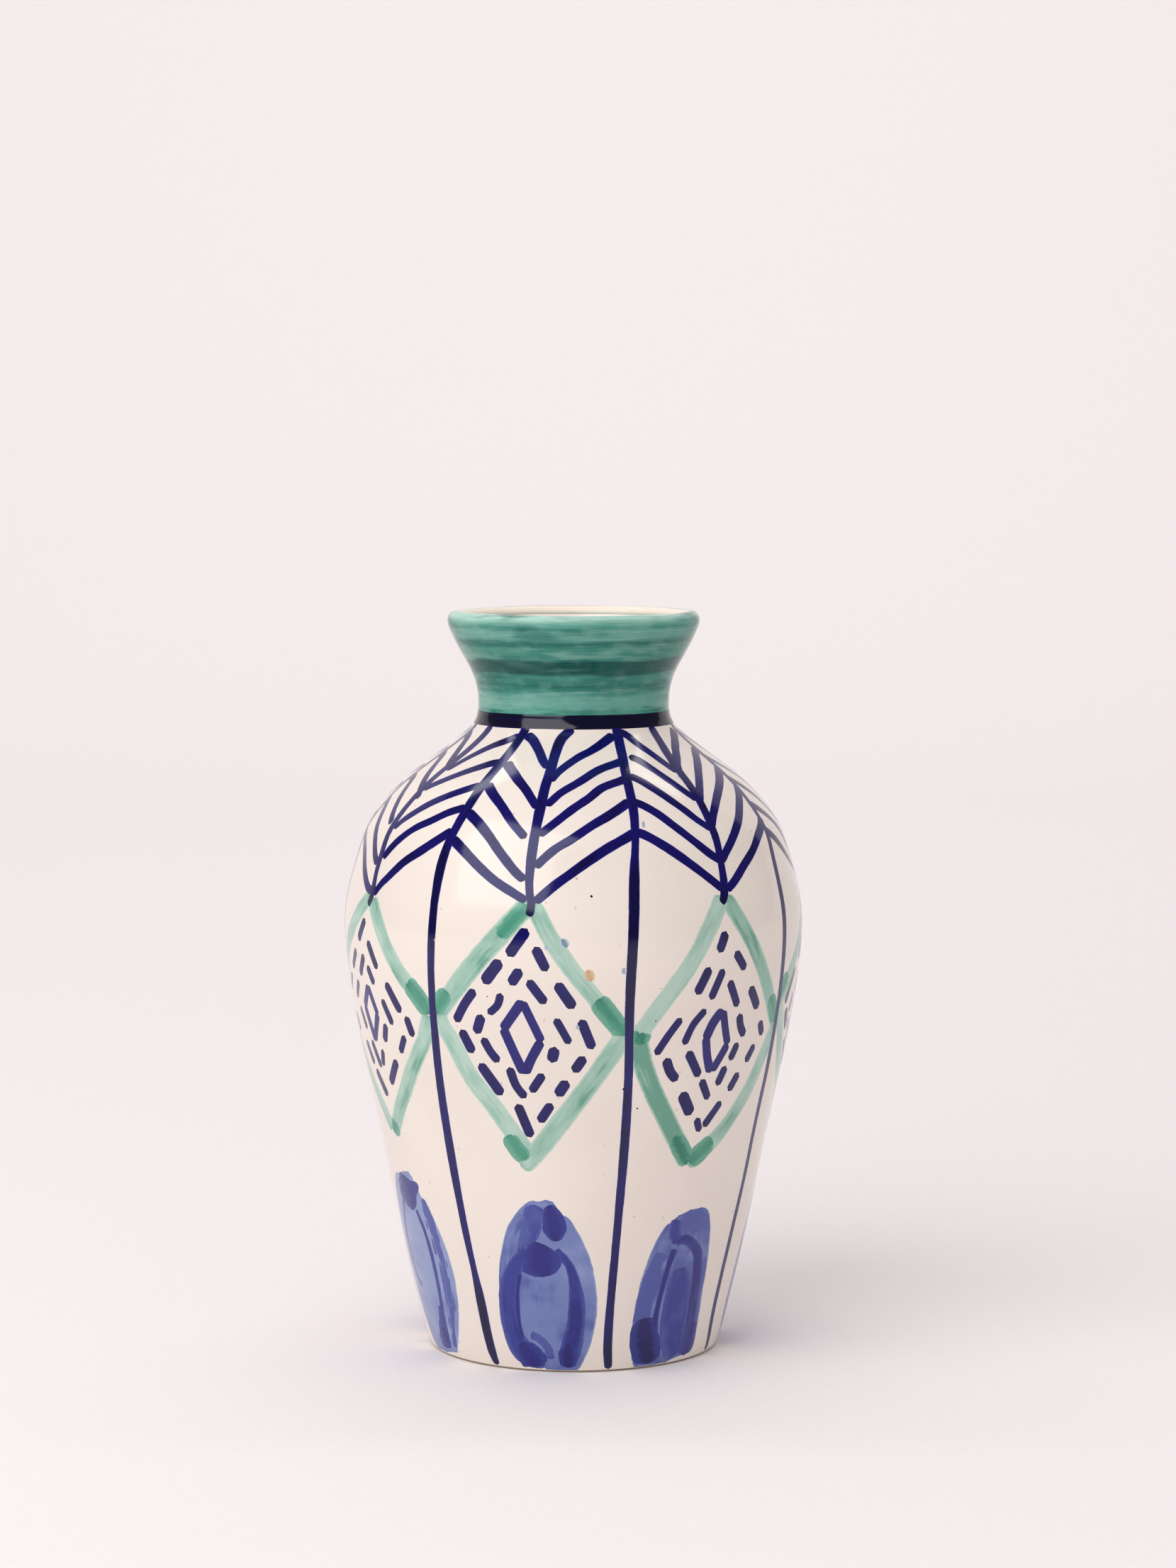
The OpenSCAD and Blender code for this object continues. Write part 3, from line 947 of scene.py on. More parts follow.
# %% [markdown]
# ### Drawing the panels
# Seven panels go round the vase. No two are alike, since each mark was made by hand. Three of
# them are written out stroke by stroke, as angle round the vase from the front and height up
# the wall, and the four at the back repeat them with small seeded changes of place and width.
# A panel is a dictionary: its stem on the right, its middle vein, its slanting ribs, the green
# diamond with the darker pools where it overlaps, two rings of dashes, the small lozenge, and
# the petal below as a pale wash, fuller legs and dark blobs.

# %% The middle panel
def even(points, half, load=0.0):
    """A stroke of one width."""
    return [(a, z, half, load) for a, z in points]


def blot(rows, load=0.0):
    """A broad mark from rows of height, left angle and right angle."""
    return [((left + right) / 2, z, math.radians(right - left) / 2 * wall_r(z), load)
            for z, left, right in rows]


def dashes(*rows):
    """Short strokes, each as half its width and then its points."""
    return [even(list(points), half) for half, *points in rows]


def ribs_of(lines):
    """Slanting ribs start full at the stem and end a little thinner."""
    out = []
    for line in lines:
        last = len(line) - 1
        out.append([(a, z, 1.22 - 0.22 * k / last, 0.15 - 0.25 * k / last)
                    for k, (a, z) in enumerate(line)])
    return out


MIDDLE = {
    "centre": -11.0,
    "stem": [(25.5, 169.8, 1.25, 0), (22.3, 163.8, 1.25, 0), (19.6, 157.5, 1.2, 0),
             (18.2, 149.5, 1.15, 0), (16.5, 140.5, 0.95, -0.2), (15.4, 131, 1.35, 0.5),
             (14.2, 112, 1.25, 0.4), (14, 98, 1.15, 0.2), (14.5, 82, 1.1, 0), (14.5, 62, 1.1, 0),
             (13.7, 40, 1.0, 0), (12.8, 18, 1.0, 0.1), (12.8, 7, 1.1, 0.3), (13.6, 1.5, 0.9, 0)],
    "vein": [(-0.5, 169.9, 1.1, 0), (-6, 167.5, 1.3, 0.2), (-8, 164, 1.25, 0), (-8.7, 160, 1.2, 0),
             (-9.5, 156, 1.2, 0), (-9.9, 151, 1.2, 0), (-10.3, 146, 1.15, 0), (-10.7, 140, 1.1, 0),
             (-11, 134, 1.0, 0), (-10.7, 130, 0.9, 0), (-10.2, 127, 1.0, 0.3),
             (-10.6, 124.2, 1.15, 0.5)],
    "ribs": ribs_of([
        [(-26, 168.3), (-21, 167), (-16, 164.5), (-12.5, 162), (-10, 160.5)],
        [(-28.5, 161.5), (-24, 159.5), (-20, 157.5), (-16, 155.3), (-12.5, 152.5), (-10.8, 151)],
        [(-31, 156.3), (-27, 154), (-22, 151), (-17, 147), (-13, 143.8)],
        [(-33, 149.5), (-28, 147), (-23, 143.5), (-18, 138.5), (-14.5, 135), (-12.3, 133.3)],
        [(-34.5, 142.8), (-30, 140), (-25, 136.3), (-20, 132.8), (-15, 130), (-11.5, 128)],
        [(22, 168.3), (10, 165), (1.7, 162.8), (-5, 159.9), (-8, 157.4)],
        [(22, 162.3), (20, 161.8), (10, 160), (1.7, 157), (-4.2, 154.5), (-8, 151.6)],
        [(20, 158), (17.5, 157.4), (10, 155.8), (5, 153.3), (0, 150.8), (-4.6, 147.8),
         (-9.2, 144.5)],
        [(18, 152.5), (10, 148.9), (5, 146.6), (0, 143.7), (-5, 140.8), (-9.6, 136.6)],
        [(17.5, 145), (10, 141.6), (5, 138.7), (0, 135.3), (-5, 131.6), (-9.2, 127.8)]]),
    "frame": [
        even([(-10.2, 128), (-13.4, 124.4), (-17.2, 119.8), (-23, 113), (-29.3, 105.3),
              (-33.2, 100.6), (-36.3, 97.2)], 2.35, 0.1),
        even([(-9.8, 127.4), (-4.9, 117.9), (0, 110.2), (5.2, 103.2), (9.6, 97.4), (13.2, 92.8)],
             1.95),
        even([(-35.6, 97.6), (-34.4, 94), (-32, 90), (-27.8, 81.5), (-21.5, 73.2), (-16.3, 65.8),
              (-12.6, 60.4)], 2.2, -0.15),
        even([(13.2, 93.4), (8.3, 85.8), (2.2, 77), (-4, 69), (-9.3, 62.6), (-13.2, 58.7),
              (-15.2, 57.4)], 2.25)],
    "pools": [even([(-18.2, 66), (-15.4, 62), (-12.8, 59.4)], 2.2),
              even([(-32.2, 103.6), (-34.5, 100.6), (-36.6, 97.6)], 2.1),
              even([(5.6, 103), (9, 98.4), (13.2, 93)], 2.1, 0.2),
              even([(-11, 127), (-14.5, 123), (-18, 118.6)], 1.9, -0.4)],
    "outer": dashes(
        (1.05, (-11.2, 120.6), (-13.2, 117.6), (-15.4, 114.2)), (0.9, (-8.9, 116), (-6.4, 110.6)),
        (1.1, (-17.8, 112.3), (-21.8, 106.8)), (0.95, (-3.7, 106.7), (0, 100.8)),
        (0.85, (-24.8, 104.2), (-27.6, 100.5), (-30.3, 96)), (0.9, (2.1, 97), (4.8, 90)),
        (0.95, (-29, 93.2), (-26.5, 88)), (0.95, (2.7, 87.2), (0.4, 83.8)),
        (1.0, (-24.4, 84.5), (-19.3, 77.1)), (1.0, (-1.7, 80.7), (-3.9, 77.3)),
        (0.9, (-14.8, 74), (-11.8, 66)), (0.9, (-5.9, 74.5), (-8.9, 70.1))),
    "inner": dashes(
        (1.0, (-12.8, 110.2), (-15, 106.7)), (0.85, (-10.6, 107.3), (-6.9, 102)),
        (0.75, (-17.9, 103.6), (-18.7, 100.8), (-21, 98.7)), (0.95, (-23.2, 97.6), (-24.8, 93.3)),
        (0.75, (-4.1, 97.3), (-1, 91.4)), (0.85, (-23, 91.5), (-21.3, 88.2), (-19.5, 86)),
        (1.0, (-4.6, 89.7), (-5.3, 86.4)), (0.85, (-16.4, 83.9), (-15, 79.5), (-12.8, 76.6)),
        (0.8, (-7.9, 82.5), (-10.8, 78.2))),
    "heart": dashes(
        (0.9, (-12.4, 102), (-15.5, 97.5), (-17.6, 94.5)),
        (0.85, (-17.5, 94.6), (-15.5, 89.5), (-12.8, 83)),
        (0.75, (-12.3, 101.8), (-9.8, 96), (-7.9, 91.6)),
        (0.85, (-8, 91.5), (-10.5, 87), (-12.3, 83))),
    "wash": [blot([(48.6, -9, -7.2), (47.4, -11.2, -5), (46, -14.4, -3.2), (44.5, -16.9, -1.4),
                   (42, -19.4, 0.6), (39, -21.6, 2.4), (35, -23.5, 4.4), (30, -25, 6.6),
                   (25, -25.8, 8), (20, -26.4, 8.8), (15, -26.3, 8.5), (10, -25.5, 7.4),
                   (6, -24, 5.6), (3, -22.2, 3.6), (1.4, -20.4, 1.2), (0.7, -19, -1.5)]),
             blot([(44, -16.6, -12), (38, -21.4, -16.4), (30, -24.6, -19), (22, -26, -21)], 0.3)],
    "legs": [
        [(-14.5, 33.4, 2.3, 0.1), (-18.8, 30, 2.6, 0), (-21.6, 25, 2.8, 0), (-22.7, 19, 2.8, 0),
         (-22.7, 13, 2.9, 0), (-21, 8.2, 3.4, 0), (-17.8, 5, 3.6, 0), (-13.4, 3.8, 3.1, 0),
         (-9.8, 3.4, 2.6, -0.1)],
        [(-6, 35, 1.4, 0.1), (-2, 31.4, 1.4, 0.1), (0.4, 26, 1.7, 0.2), (1.0, 20, 2.4, 0.3),
         (0.9, 14.5, 2.7, 0.3), (-0.3, 9, 3.1, 0.3), (-1.9, 5, 3.1, 0.4), (-2.2, 3.4, 2.8, 0.4)],
        blot([(46.8, -11, -8), (45.4, -14.4, -6.6), (43.6, -16, -7), (41, -16.8, -8.8),
              (38, -17.4, -10.6), (36, -17.8, -11.4), (33.4, -18, -12)], -0.6),
        even([(-17.6, 28), (-19.2, 22), (-19.6, 15), (-18.8, 9)], 0.7, 0.5),
        even([(-16, 10.6), (-12.4, 9.6), (-9.4, 7), (-8.2, 3.4)], 1.3, -1.0)],
    "blobs": [
        blot([(36.6, -13.4, -5.2), (35.2, -16.8, -3.2), (33, -18.4, -3), (31, -18, -3.2),
              (29, -16.2, -3.8), (26.8, -13.2, -5.8)], -0.2),
        blot([(47.2, -8.6, -7), (46, -9.2, -5), (44, -9.6, -3.2), (42, -9.6, -2.2),
              (40, -9.2, -2), (38.2, -7.8, -3), (36.8, -6, -4.4)], 0.1),
        blot([(8.4, -21.4, -18.4), (6.6, -22.8, -13.6), (5, -22, -11.2), (3.4, -20.6, -9.4),
              (2, -19, -9), (1.1, -16.6, -11)], 0.2),
        blot([(8.6, -3.4, -0.8), (6.4, -5, 1.6), (4.4, -5.6, 1.8), (2.4, -5, 1.2),
              (1.2, -3.8, 0)], 0.1)],
}
print("middle panel strokes:", sum(len(v) for v in MIDDLE.values() if isinstance(v, list)))

# %% The right panel
RIGHT = {
    "centre": 39.5,
    "stem": [(77, 169.8, 1.1, 0), (74, 164, 1.15, 0), (71.5, 159, 1.15, 0), (69.5, 154, 1.15, 0),
             (67.5, 145.5, 1.0, 0), (65.5, 134, 1.1, 0.2), (64.7, 120, 1.15, 0.2),
             (64.5, 110, 1.1, 0), (64.9, 96, 1.1, 0), (65, 80, 1.1, 0), (64.8, 65, 1.05, 0),
             (64.5, 50, 1.0, 0), (63, 36, 1.0, 0), (62, 22, 1.0, 0), (62.3, 11, 1.0, 0),
             (64.5, 1.6, 0.8, 0)],
    "vein": [(50.5, 170, 1.2, 0), (49, 167, 1.3, 0.1), (46, 163, 1.3, 0.2), (44, 159, 1.3, 0.2),
             (43.3, 154, 1.2, 0), (42.5, 148, 1.2, 0), (42, 143, 1.15, 0), (41.7, 137, 1.1, 0),
             (41.3, 131, 1.1, 0), (40.5, 127.5, 1.15, 0.3), (39.2, 126.1, 1.1, 0.4)],
    "ribs": ribs_of([
        [(26, 169), (30, 168), (33, 166), (37, 163.5), (40, 161), (42.5, 158.8)],
        [(25, 162.8), (28, 162.2), (32, 160), (36, 157), (39, 154.5), (42, 152)],
        [(21, 158.5), (25, 157), (30, 153.8), (35, 150), (38, 147.3), (41.5, 144.8)],
        [(18.5, 152.5), (22, 151.3), (26, 149), (30, 145.7), (35, 141.5), (38.5, 138.7),
         (41.5, 136.8)],
        [(17.5, 145), (20, 144.2), (25, 141.3), (30, 137.8), (35, 134), (39, 130.8),
         (41.5, 128.8)],
        [(72, 168.5), (65, 167), (60, 165.7), (55, 164.3), (50, 162.3), (46, 160.5),
         (43.5, 158.5)],
        [(72, 163.5), (66, 162.3), (60, 160.5), (55, 158.8), (50, 156.5), (46, 154), (43, 151.5)],
        [(71, 158.5), (66, 157.2), (60, 155.3), (55, 153.5), (50, 151.2), (45, 148),
         (42.5, 145.5)],
        [(70, 154), (65, 151.7), (60, 149.3), (55, 146.3), (50, 143.2), (44.5, 139), (42, 136.5)],
        [(68.5, 145.8), (65, 143.8), (60, 141.3), (55, 138), (50, 134.9), (45, 131.2),
         (42, 129.3)]]),
    "frame": [
        even([(40, 127.8), (34.5, 119.2), (29.5, 110.9), (23.7, 102.9), (19.2, 96.6),
              (16.6, 92.6)], 2.1, -0.2),
        even([(40.8, 127.6), (46, 119.4), (51, 111.8), (56, 104), (60.5, 96.9), (64.6, 90.6)],
             2.1, 0.15),
        even([(16.6, 93), (17, 89.4), (19, 83), (23, 75), (28.5, 66.3), (32, 61.2), (35.4, 56.6)],
             2.3, 0.5),
        even([(64.4, 91), (59.8, 82.3), (55, 73.9), (48, 65.8), (42, 60.8), (37, 58),
              (34.6, 56.8)], 2.2)],
    "pools": [even([(16.8, 94.4), (17.2, 90.2)], 2.5, 0.3),
              even([(29.5, 64.8), (32.5, 60.6), (35.2, 57)], 2.2, 0.3),
              even([(43.6, 62.4), (39.6, 59.6), (35.4, 57)], 2.3, 0.1),
              even([(59.4, 99.4), (64, 92)], 2.0, -0.5)],
    "outer": dashes(
        (1.0, (39.8, 118.3), (37.9, 113.8)), (0.9, (43.3, 112.8), (46.6, 108.4)),
        (0.95, (34.9, 109.3), (31.9, 103.2)), (0.95, (49.7, 102.7), (53.5, 97.2)),
        (0.75, (27.6, 96.4), (24.6, 92.4), (21.7, 87.8)), (0.85, (55.9, 92.8), (57.6, 89.5)),
        (0.95, (24.6, 85.9), (26, 82.5), (28, 80.4)), (0.85, (54.5, 86.6), (52.1, 82.9)),
        (1.15, (30.3, 76.2), (33.7, 70.6)), (0.9, (49.3, 79.6), (46.8, 75.7)),
        (0.75, (36.3, 68.7), (37.7, 65.6)), (0.8, (44, 72.4), (39.3, 66.8))),
    "inner": dashes(
        (0.85, (39.2, 108.5), (36.2, 101.5)), (0.85, (41.8, 105.2), (45.2, 98.7)),
        (0.75, (34.6, 98.2), (31.5, 94.8), (29.4, 90)),
        (0.9, (46.6, 95.8), (47.5, 92.8), (49.3, 90.3)), (0.85, (47.1, 88), (45.3, 84.2)),
        (0.9, (30.8, 87.3), (34.8, 80.9)), (0.9, (43.7, 82), (41.8, 77.8)),
        (0.8, (36.1, 79.2), (39, 74.3))),
    "heart": dashes(
        (0.95, (40.2, 97.8), (37.5, 94.5), (35.8, 90.5)),
        (0.9, (35.8, 91), (36.8, 86), (38.5, 81.5)), (0.8, (40.6, 97.5), (42, 92.5), (43.4, 88.5)),
        (0.85, (43.3, 88.3), (41, 84.5), (39.2, 81.8))),
    "wash": [blot([(43.8, 36.4, 41), (42.8, 33, 44.8), (41, 31, 47.4), (39, 29.4, 48.8),
                   (36, 27.5, 49.8), (33, 25.8, 50.3), (30, 24.4, 50.8), (26, 23, 51.2),
                   (22, 22, 51.4), (18, 21.2, 51.8), (14, 21, 52.2), (10, 21, 52.7),
                   (6, 21.6, 53), (3, 23.2, 52.6), (1.6, 25, 51.6), (0.7, 27, 50)], 0.35),
             blot([(33, 27.2, 33), (27, 24.4, 31), (20, 22.2, 30), (13, 21.4, 29.6)], 0.8)],
    "legs": [
        blot([(28, 34.6, 41), (22, 32.6, 44.6), (14, 31.6, 46.6), (8, 32.6, 47), (4, 35, 47.6),
              (1.8, 37.6, 48)], -0.3),
        [(34, 41.8, 1.8, -0.3), (33.6, 38, 1.9, -0.2), (35.4, 34.6, 2.0, 0.1)],
        [(34.4, 33.6, 1.4, 0.6), (32.9, 29, 1.1, 0.6), (31.6, 23, 1.0, 0.6), (30.6, 17, 1.0, 0.6),
         (30.4, 11, 1.2, 0.6)],
        [(34.4, 35, 1.5, 0.4), (37.6, 35.6, 1.8, 0.4), (41, 34.2, 2.0, 0.4), (44.4, 31, 2.1, 0.4),
         (46, 25, 2.1, 0.4), (46.8, 17, 2.4, 0.3), (47.4, 9, 2.8, 0.3), (47.6, 5, 3.2, 0.4)],
        blot([(12, 44, 51.4), (8, 43.2, 52.2), (4, 43.4, 52.6), (1.6, 45, 51)], 0.3)],
    "blobs": [blot([(15, 23.6, 28.6), (12.4, 21.2, 31.6), (9, 21, 33), (6, 21.8, 34.4),
                    (4, 23, 35.4), (2.2, 25, 35.2), (1, 28, 32.6)], 0.6),
              even([(34.4, 35.6), (36.4, 35.2)], 1.8, -0.5)],
}
print("right panel strokes:", sum(len(v) for v in RIGHT.values() if isinstance(v, list)))

# %% The left panel
LEFT = {
    "centre": -62.0,
    "stem": [(-28, 169.8, 1.25, 0), (-30.9, 161.5, 1.3, 0), (-32.5, 156.5, 1.35, 0),
             (-33.7, 150, 1.35, 0), (-35, 143, 1.2, 0), (-36.2, 136, 1.4, 0.5),
             (-36.4, 128, 1.2, 0.4), (-36.3, 120, 1.15, 0.3), (-36.9, 106, 1.05, 0.1),
             (-37.4, 94, 1.15, 0), (-37.8, 80, 1.2, 0), (-37.9, 68, 1.25, 0), (-37.5, 56, 1.25, 0),
             (-36.3, 40, 1.05, 0), (-34.9, 28, 0.95, -0.1), (-34, 20, 1.3, 0.5),
             (-33.3, 11, 1.3, 0.5), (-32.4, 5, 1.2, 0.5), (-31.3, 1.5, 0.8, 0.3)],
    "vein": [(-55.4, 170, 1.2, 0), (-55.8, 165.5, 1.3, 0), (-57, 162, 1.3, 0),
             (-58.7, 157.5, 1.25, 0), (-60, 152, 1.2, 0), (-61, 146, 1.15, 0),
             (-61.5, 137, 1.1, 0), (-61.7, 132, 1.0, 0), (-61.2, 126, 1.1, 0.3),
             (-62.4, 123.4, 1.1, 0.4)],
    "ribs": ribs_of([
        [(-29.5, 167.9), (-33.2, 167.2), (-37.3, 166.3), (-41.4, 165.4), (-45, 164.3),
         (-48.6, 162.9), (-52.3, 161.1), (-56, 158.8)],
        [(-30.5, 161.5), (-35, 161.1), (-39.5, 160.1), (-45, 158.6), (-50, 157), (-55, 155.2),
         (-58.2, 153.8)],
        [(-33.6, 155.9), (-39.5, 154.3), (-45, 152.5), (-50, 150.4), (-55, 147.5), (-57.7, 145.6),
         (-59.5, 143.8)],
        [(-34.5, 150.4), (-39.5, 149), (-45, 146.5), (-50, 144.3), (-55, 140.8), (-57.7, 138.4),
         (-60, 136.1)],
        [(-35.5, 144.7), (-39.5, 142), (-45, 138.6), (-50, 135.6), (-55, 131.5), (-57.7, 129.3),
         (-60.2, 126.5)],
        [(-75.9, 167.7), (-70, 166.5), (-65, 164), (-60.5, 161.1), (-57.7, 159.3)],
        [(-78, 162.2), (-73.6, 161.5), (-70, 159.7), (-65, 156.5), (-60.9, 153.8),
         (-57.8, 151.5)],
        [(-80, 156), (-75, 155.2), (-70, 151), (-66, 147), (-63.2, 144.7)],
        [(-81.5, 150.2), (-76, 147), (-70, 141.5), (-65.5, 136.5), (-62.7, 134.3)],
        [(-83, 141.2), (-75, 136.5), (-70, 132), (-65, 128.1), (-61.8, 127)]]),
    "frame": [
        even([(-60.6, 125.2), (-56.5, 119.8), (-52, 113), (-47.5, 107), (-43.5, 103),
              (-39.2, 98.4)], 2.2),
        even([(-62.4, 125.6), (-67.5, 121), (-71.5, 117), (-75.5, 113.5), (-78.5, 110.5),
              (-84, 104), (-88.4, 97.6)], 2.2),
        even([(-38.9, 96.6), (-41, 90.5), (-44, 86), (-48.5, 80), (-53, 74), (-57.5, 69),
              (-61.5, 64.5), (-64.8, 61.6)], 2.1),
        even([(-64.6, 62.4), (-68, 66.5), (-71.5, 71), (-75, 75.5), (-78, 79.5), (-82, 85.5),
              (-88, 95)], 2.1)],
    "pools": [even([(-45.6, 105.2), (-42, 101.4), (-38.7, 97.2)], 2.3, 0.2),
              even([(-61, 64.6), (-64.2, 61.8)], 2.2, 0.1),
              even([(-61, 125.4), (-62.6, 125)], 1.7, -0.3)],
    "outer": dashes(
        (0.85, (-63.4, 119.2), (-66.9, 113.8)), (0.85, (-61.3, 113.6), (-57.5, 107.3)),
        (0.8, (-69.8, 110.3), (-73.8, 105.5)), (0.95, (-53.7, 103.3), (-49.2, 96.6)),
        (0.8, (-77, 103), (-80.5, 99)), (0.85, (-47, 95), (-45.5, 90.5)),
        (0.75, (-48.9, 89.6), (-51.4, 85.4)), (0.9, (-54.3, 82.3), (-59.3, 75.9)),
        (0.9, (-67.8, 78), (-63.6, 72)), (0.85, (-72, 85.3), (-68.8, 80)),
        (0.8, (-80, 92), (-77.5, 88))),
    "inner": dashes(
        (0.85, (-64.5, 109.5), (-67.7, 104.3)), (0.85, (-62.4, 106.8), (-60, 102.8)),
        (0.75, (-70.5, 101.8), (-73.8, 97.5)), (0.8, (-56.5, 98.5), (-53.5, 92.8)),
        (0.75, (-72.3, 94.5), (-69.5, 89.5)), (0.85, (-56.8, 91.8), (-58.4, 87.5)),
        (0.75, (-67, 86), (-63.8, 79.8)), (0.7, (-60.8, 84.3), (-62.1, 80.5))),
    "heart": dashes(
        (0.8, (-63.7, 101.5), (-67.8, 95.5)), (0.8, (-67.8, 95.6), (-64.3, 86.8)),
        (0.75, (-63.6, 101.4), (-60.3, 94.3)), (0.8, (-60.4, 94.4), (-64.2, 86.9))),
    "wash": [blot([(51, -65.4, -62), (50, -68.6, -58), (48, -71.5, -55.6), (45, -74.6, -53.4),
                   (41, -77, -50.6), (36, -79, -47.6), (30, -80, -44.9), (24, -80, -43.6),
                   (18, -79, -43.9), (12, -77, -45.6), (7, -74.4, -48), (4, -72.4, -49.6),
                   (2, -70.6, -50.8), (0.8, -69, -52)], -0.4),
             blot([(45, -55, -53), (40, -56.4, -50), (33, -54.4, -47.6), (25, -53.8, -46),
                   (17, -53.8, -46), (10, -53.6, -48.4), (3, -54, -51)], 0.7)],
    "legs": [
        even([(-59.4, 41.4), (-56.6, 36.4), (-54.8, 30), (-54.4, 22), (-55, 15), (-56.4, 9)], 1.0),
        blot([(15, -57.4, -54), (11, -59.6, -53.8), (7, -62, -53.8), (3.6, -63, -53.9),
              (1.8, -62, -54.6)], -0.2),
        even([(-67.4, 43), (-71, 37), (-73, 30), (-72, 22), (-68, 18)], 1.1, -1.0)],
    "blobs": [blot([(50.4, -65.8, -60), (49, -69.4, -57), (47, -70.6, -55), (45, -69.6, -54.4),
                    (43, -66, -55.4), (41.4, -60.6, -57)], -0.3),
              even([(-57, 3.6), (-57, 9)], 2.0, -0.4)],
}
print("left panel strokes:", sum(len(v) for v in LEFT.values() if isinstance(v, list)))

# %% [markdown]
# ### The panels at the back
# The back repeats the drawn panels, each turned to its own place. A seeded random generator
# moves every loose mark by a fraction of a millimetre and changes its width a little, so that no
# panel is an exact copy, while the long lines keep meeting where they should. The last panel's
# stem closes the ring beside the left panel, so it has a path of its own.

# %% All seven panels
MARKS_TOP = 170.0
PLAY = {"outer": 1.3, "inner": 1.3, "heart": 0.4, "ribs": 0.35, "frame": 0.4, "pools": 0.8,
        "wash": 0.1, "legs": 0.2, "blobs": 0.2}


def shifted(stroke, turn, dice, play):
    da, dz = dice.uniform(-0.6, 0.6) * play, dice.uniform(-0.6, 0.6) * play
    grow = 1 + dice.uniform(-0.10, 0.10) * play
    return [(a + turn + da, min(z + dz, MARKS_TOP), half * grow, load)
            for a, z, half, load in stroke]


def repeat(panel, centre, number):
    """The same panel with its middle turned to another angle, and its own small changes."""
    dice = random.Random(number)
    turn = centre - panel["centre"]
    out = {"centre": centre}
    for part, value in panel.items():
        if part in ("stem", "vein"):
            out[part] = shifted(value, turn, dice, 0.0)
        elif part != "centre":
            out[part] = [shifted(stroke, turn, dice, PLAY[part]) for stroke in value]
    return out


PANELS = [LEFT, MIDDLE, RIGHT, repeat(MIDDLE, 90.5, 1), repeat(RIGHT, 141.8, 2),
          repeat(MIDDLE, 193.2, 3), repeat(RIGHT, 244.7, 4)]
PANELS[-1]["stem"] = [(-75.6, 169.8, 1.2, 0), (-79, 161.5, 1.2, 0), (-81, 155, 1.2, 0),
                     (-82.4, 150, 1.15, 0), (-83.6, 143, 1.1, 0), (-85, 136, 1.2, 0.3),
                     (-87, 120, 1.15, 0.2), (-88.5, 100, 1.1, 0), (-89.5, 80, 1.1, 0),
                     (-89.5, 56, 1.1, 0), (-88, 30, 1.0, 0), (-86, 1.6, 0.9, 0)]


def gather(part):
    """That part of every panel, as one list of strokes."""
    if part in ("stem", "vein"):
        return [panel[part] for panel in PANELS]
    return [stroke for panel in PANELS for stroke in panel[part]]


print("panels at", [panel["centre"] for panel in PANELS], "degrees, with",
      len(gather("outer") + gather("inner")), "dashes")

# %% [markdown]
# ### Laying the colours on
# The order is the painter's: pale washes first, fuller strokes over them, and the cobalt lines
# last. The marks that lie over others have a slightly thicker film.

# %% Green diamonds and petals
paint("green_diamond_strokes", fuller(gather("frame"), 1.22), green_stroke,
      ["diamond_frames"], film=0.030, step=0.6, ring=18, roundness=0.7, wander=0.16,
      width_wander=0.09, seed=3.0)
paint("green_overlaps", fuller(gather("pools"), 1.3, 0.4), green_pool,
      film=0.040, step=0.6, ring=14, wander=0.22, width_wander=0.14, seed=4.0)
paint("petal_washes", gather("wash"), petal_wash, ["base_petals"], film=0.028,
      step=0.6, ring=44, roundness=0.04, wander=0.22, width_wander=0.02, seed=5.0)
paint("petal_strokes", gather("legs"), petal_stroke, film=0.040, step=0.7,
      ring=18, roundness=0.5, wander=0.25, width_wander=0.14, seed=6.0)
paint("petal_pools", gather("blobs"), petal_pool, film=0.052, step=0.6, ring=18,
      roundness=0.5, wander=0.25, width_wander=0.16, seed=7.0)

# %% Cobalt lines, ribs, dashes and lozenges
paint("cobalt_stems", fuller(gather("stem"), 1.15, 0.8), cobalt_stem,
      ["stem_lines"], film=0.062, step=0.55, width_wander=0.10, seed=8.0)
paint("cobalt_herringbone", fuller(gather("vein") + gather("ribs"), 1.22, 0.3), cobalt_rib,
      ["shoulder_chevrons"], film=0.056, step=0.55, ring=10, wander=0.08,
      width_wander=0.12, seed=9.0)
paint("cobalt_dashes", fuller(gather("outer") + gather("inner"), 1.56, 0.6), cobalt_dash,
      ["diamond_dashes"], film=0.045, step=0.7, ring=8, wander=0.06,
      width_wander=0.10, seed=10.0)
paint("cobalt_lozenges", fuller(gather("heart"), 1.6, 0.4), cobalt_heart,
      ["diamond_hearts"], film=0.045, step=0.6, ring=10, wander=0.06, width_wander=0.10,
      seed=11.0)

# %% [markdown]
# ### Kiln specks and slips of the brush
# Iron in the clay melts into a few brown specks, and a painter's sleeve or a dropped brush
# leaves a faint mark here and there. They are strokes too, only very short ones.

# %% Specks and stray marks
def speck_list(count, number):
    """Tiny round strokes, strewn over the whole coat."""
    dice = random.Random(number)
    out = []
    for _ in range(count):
        a, z = dice.uniform(-180, 180), dice.uniform(4, 166)
        r = dice.uniform(0.10, 0.22)
        out.append(even([(a, z), (a + dice.uniform(-0.2, 0.2), z - r)], r))
    return out


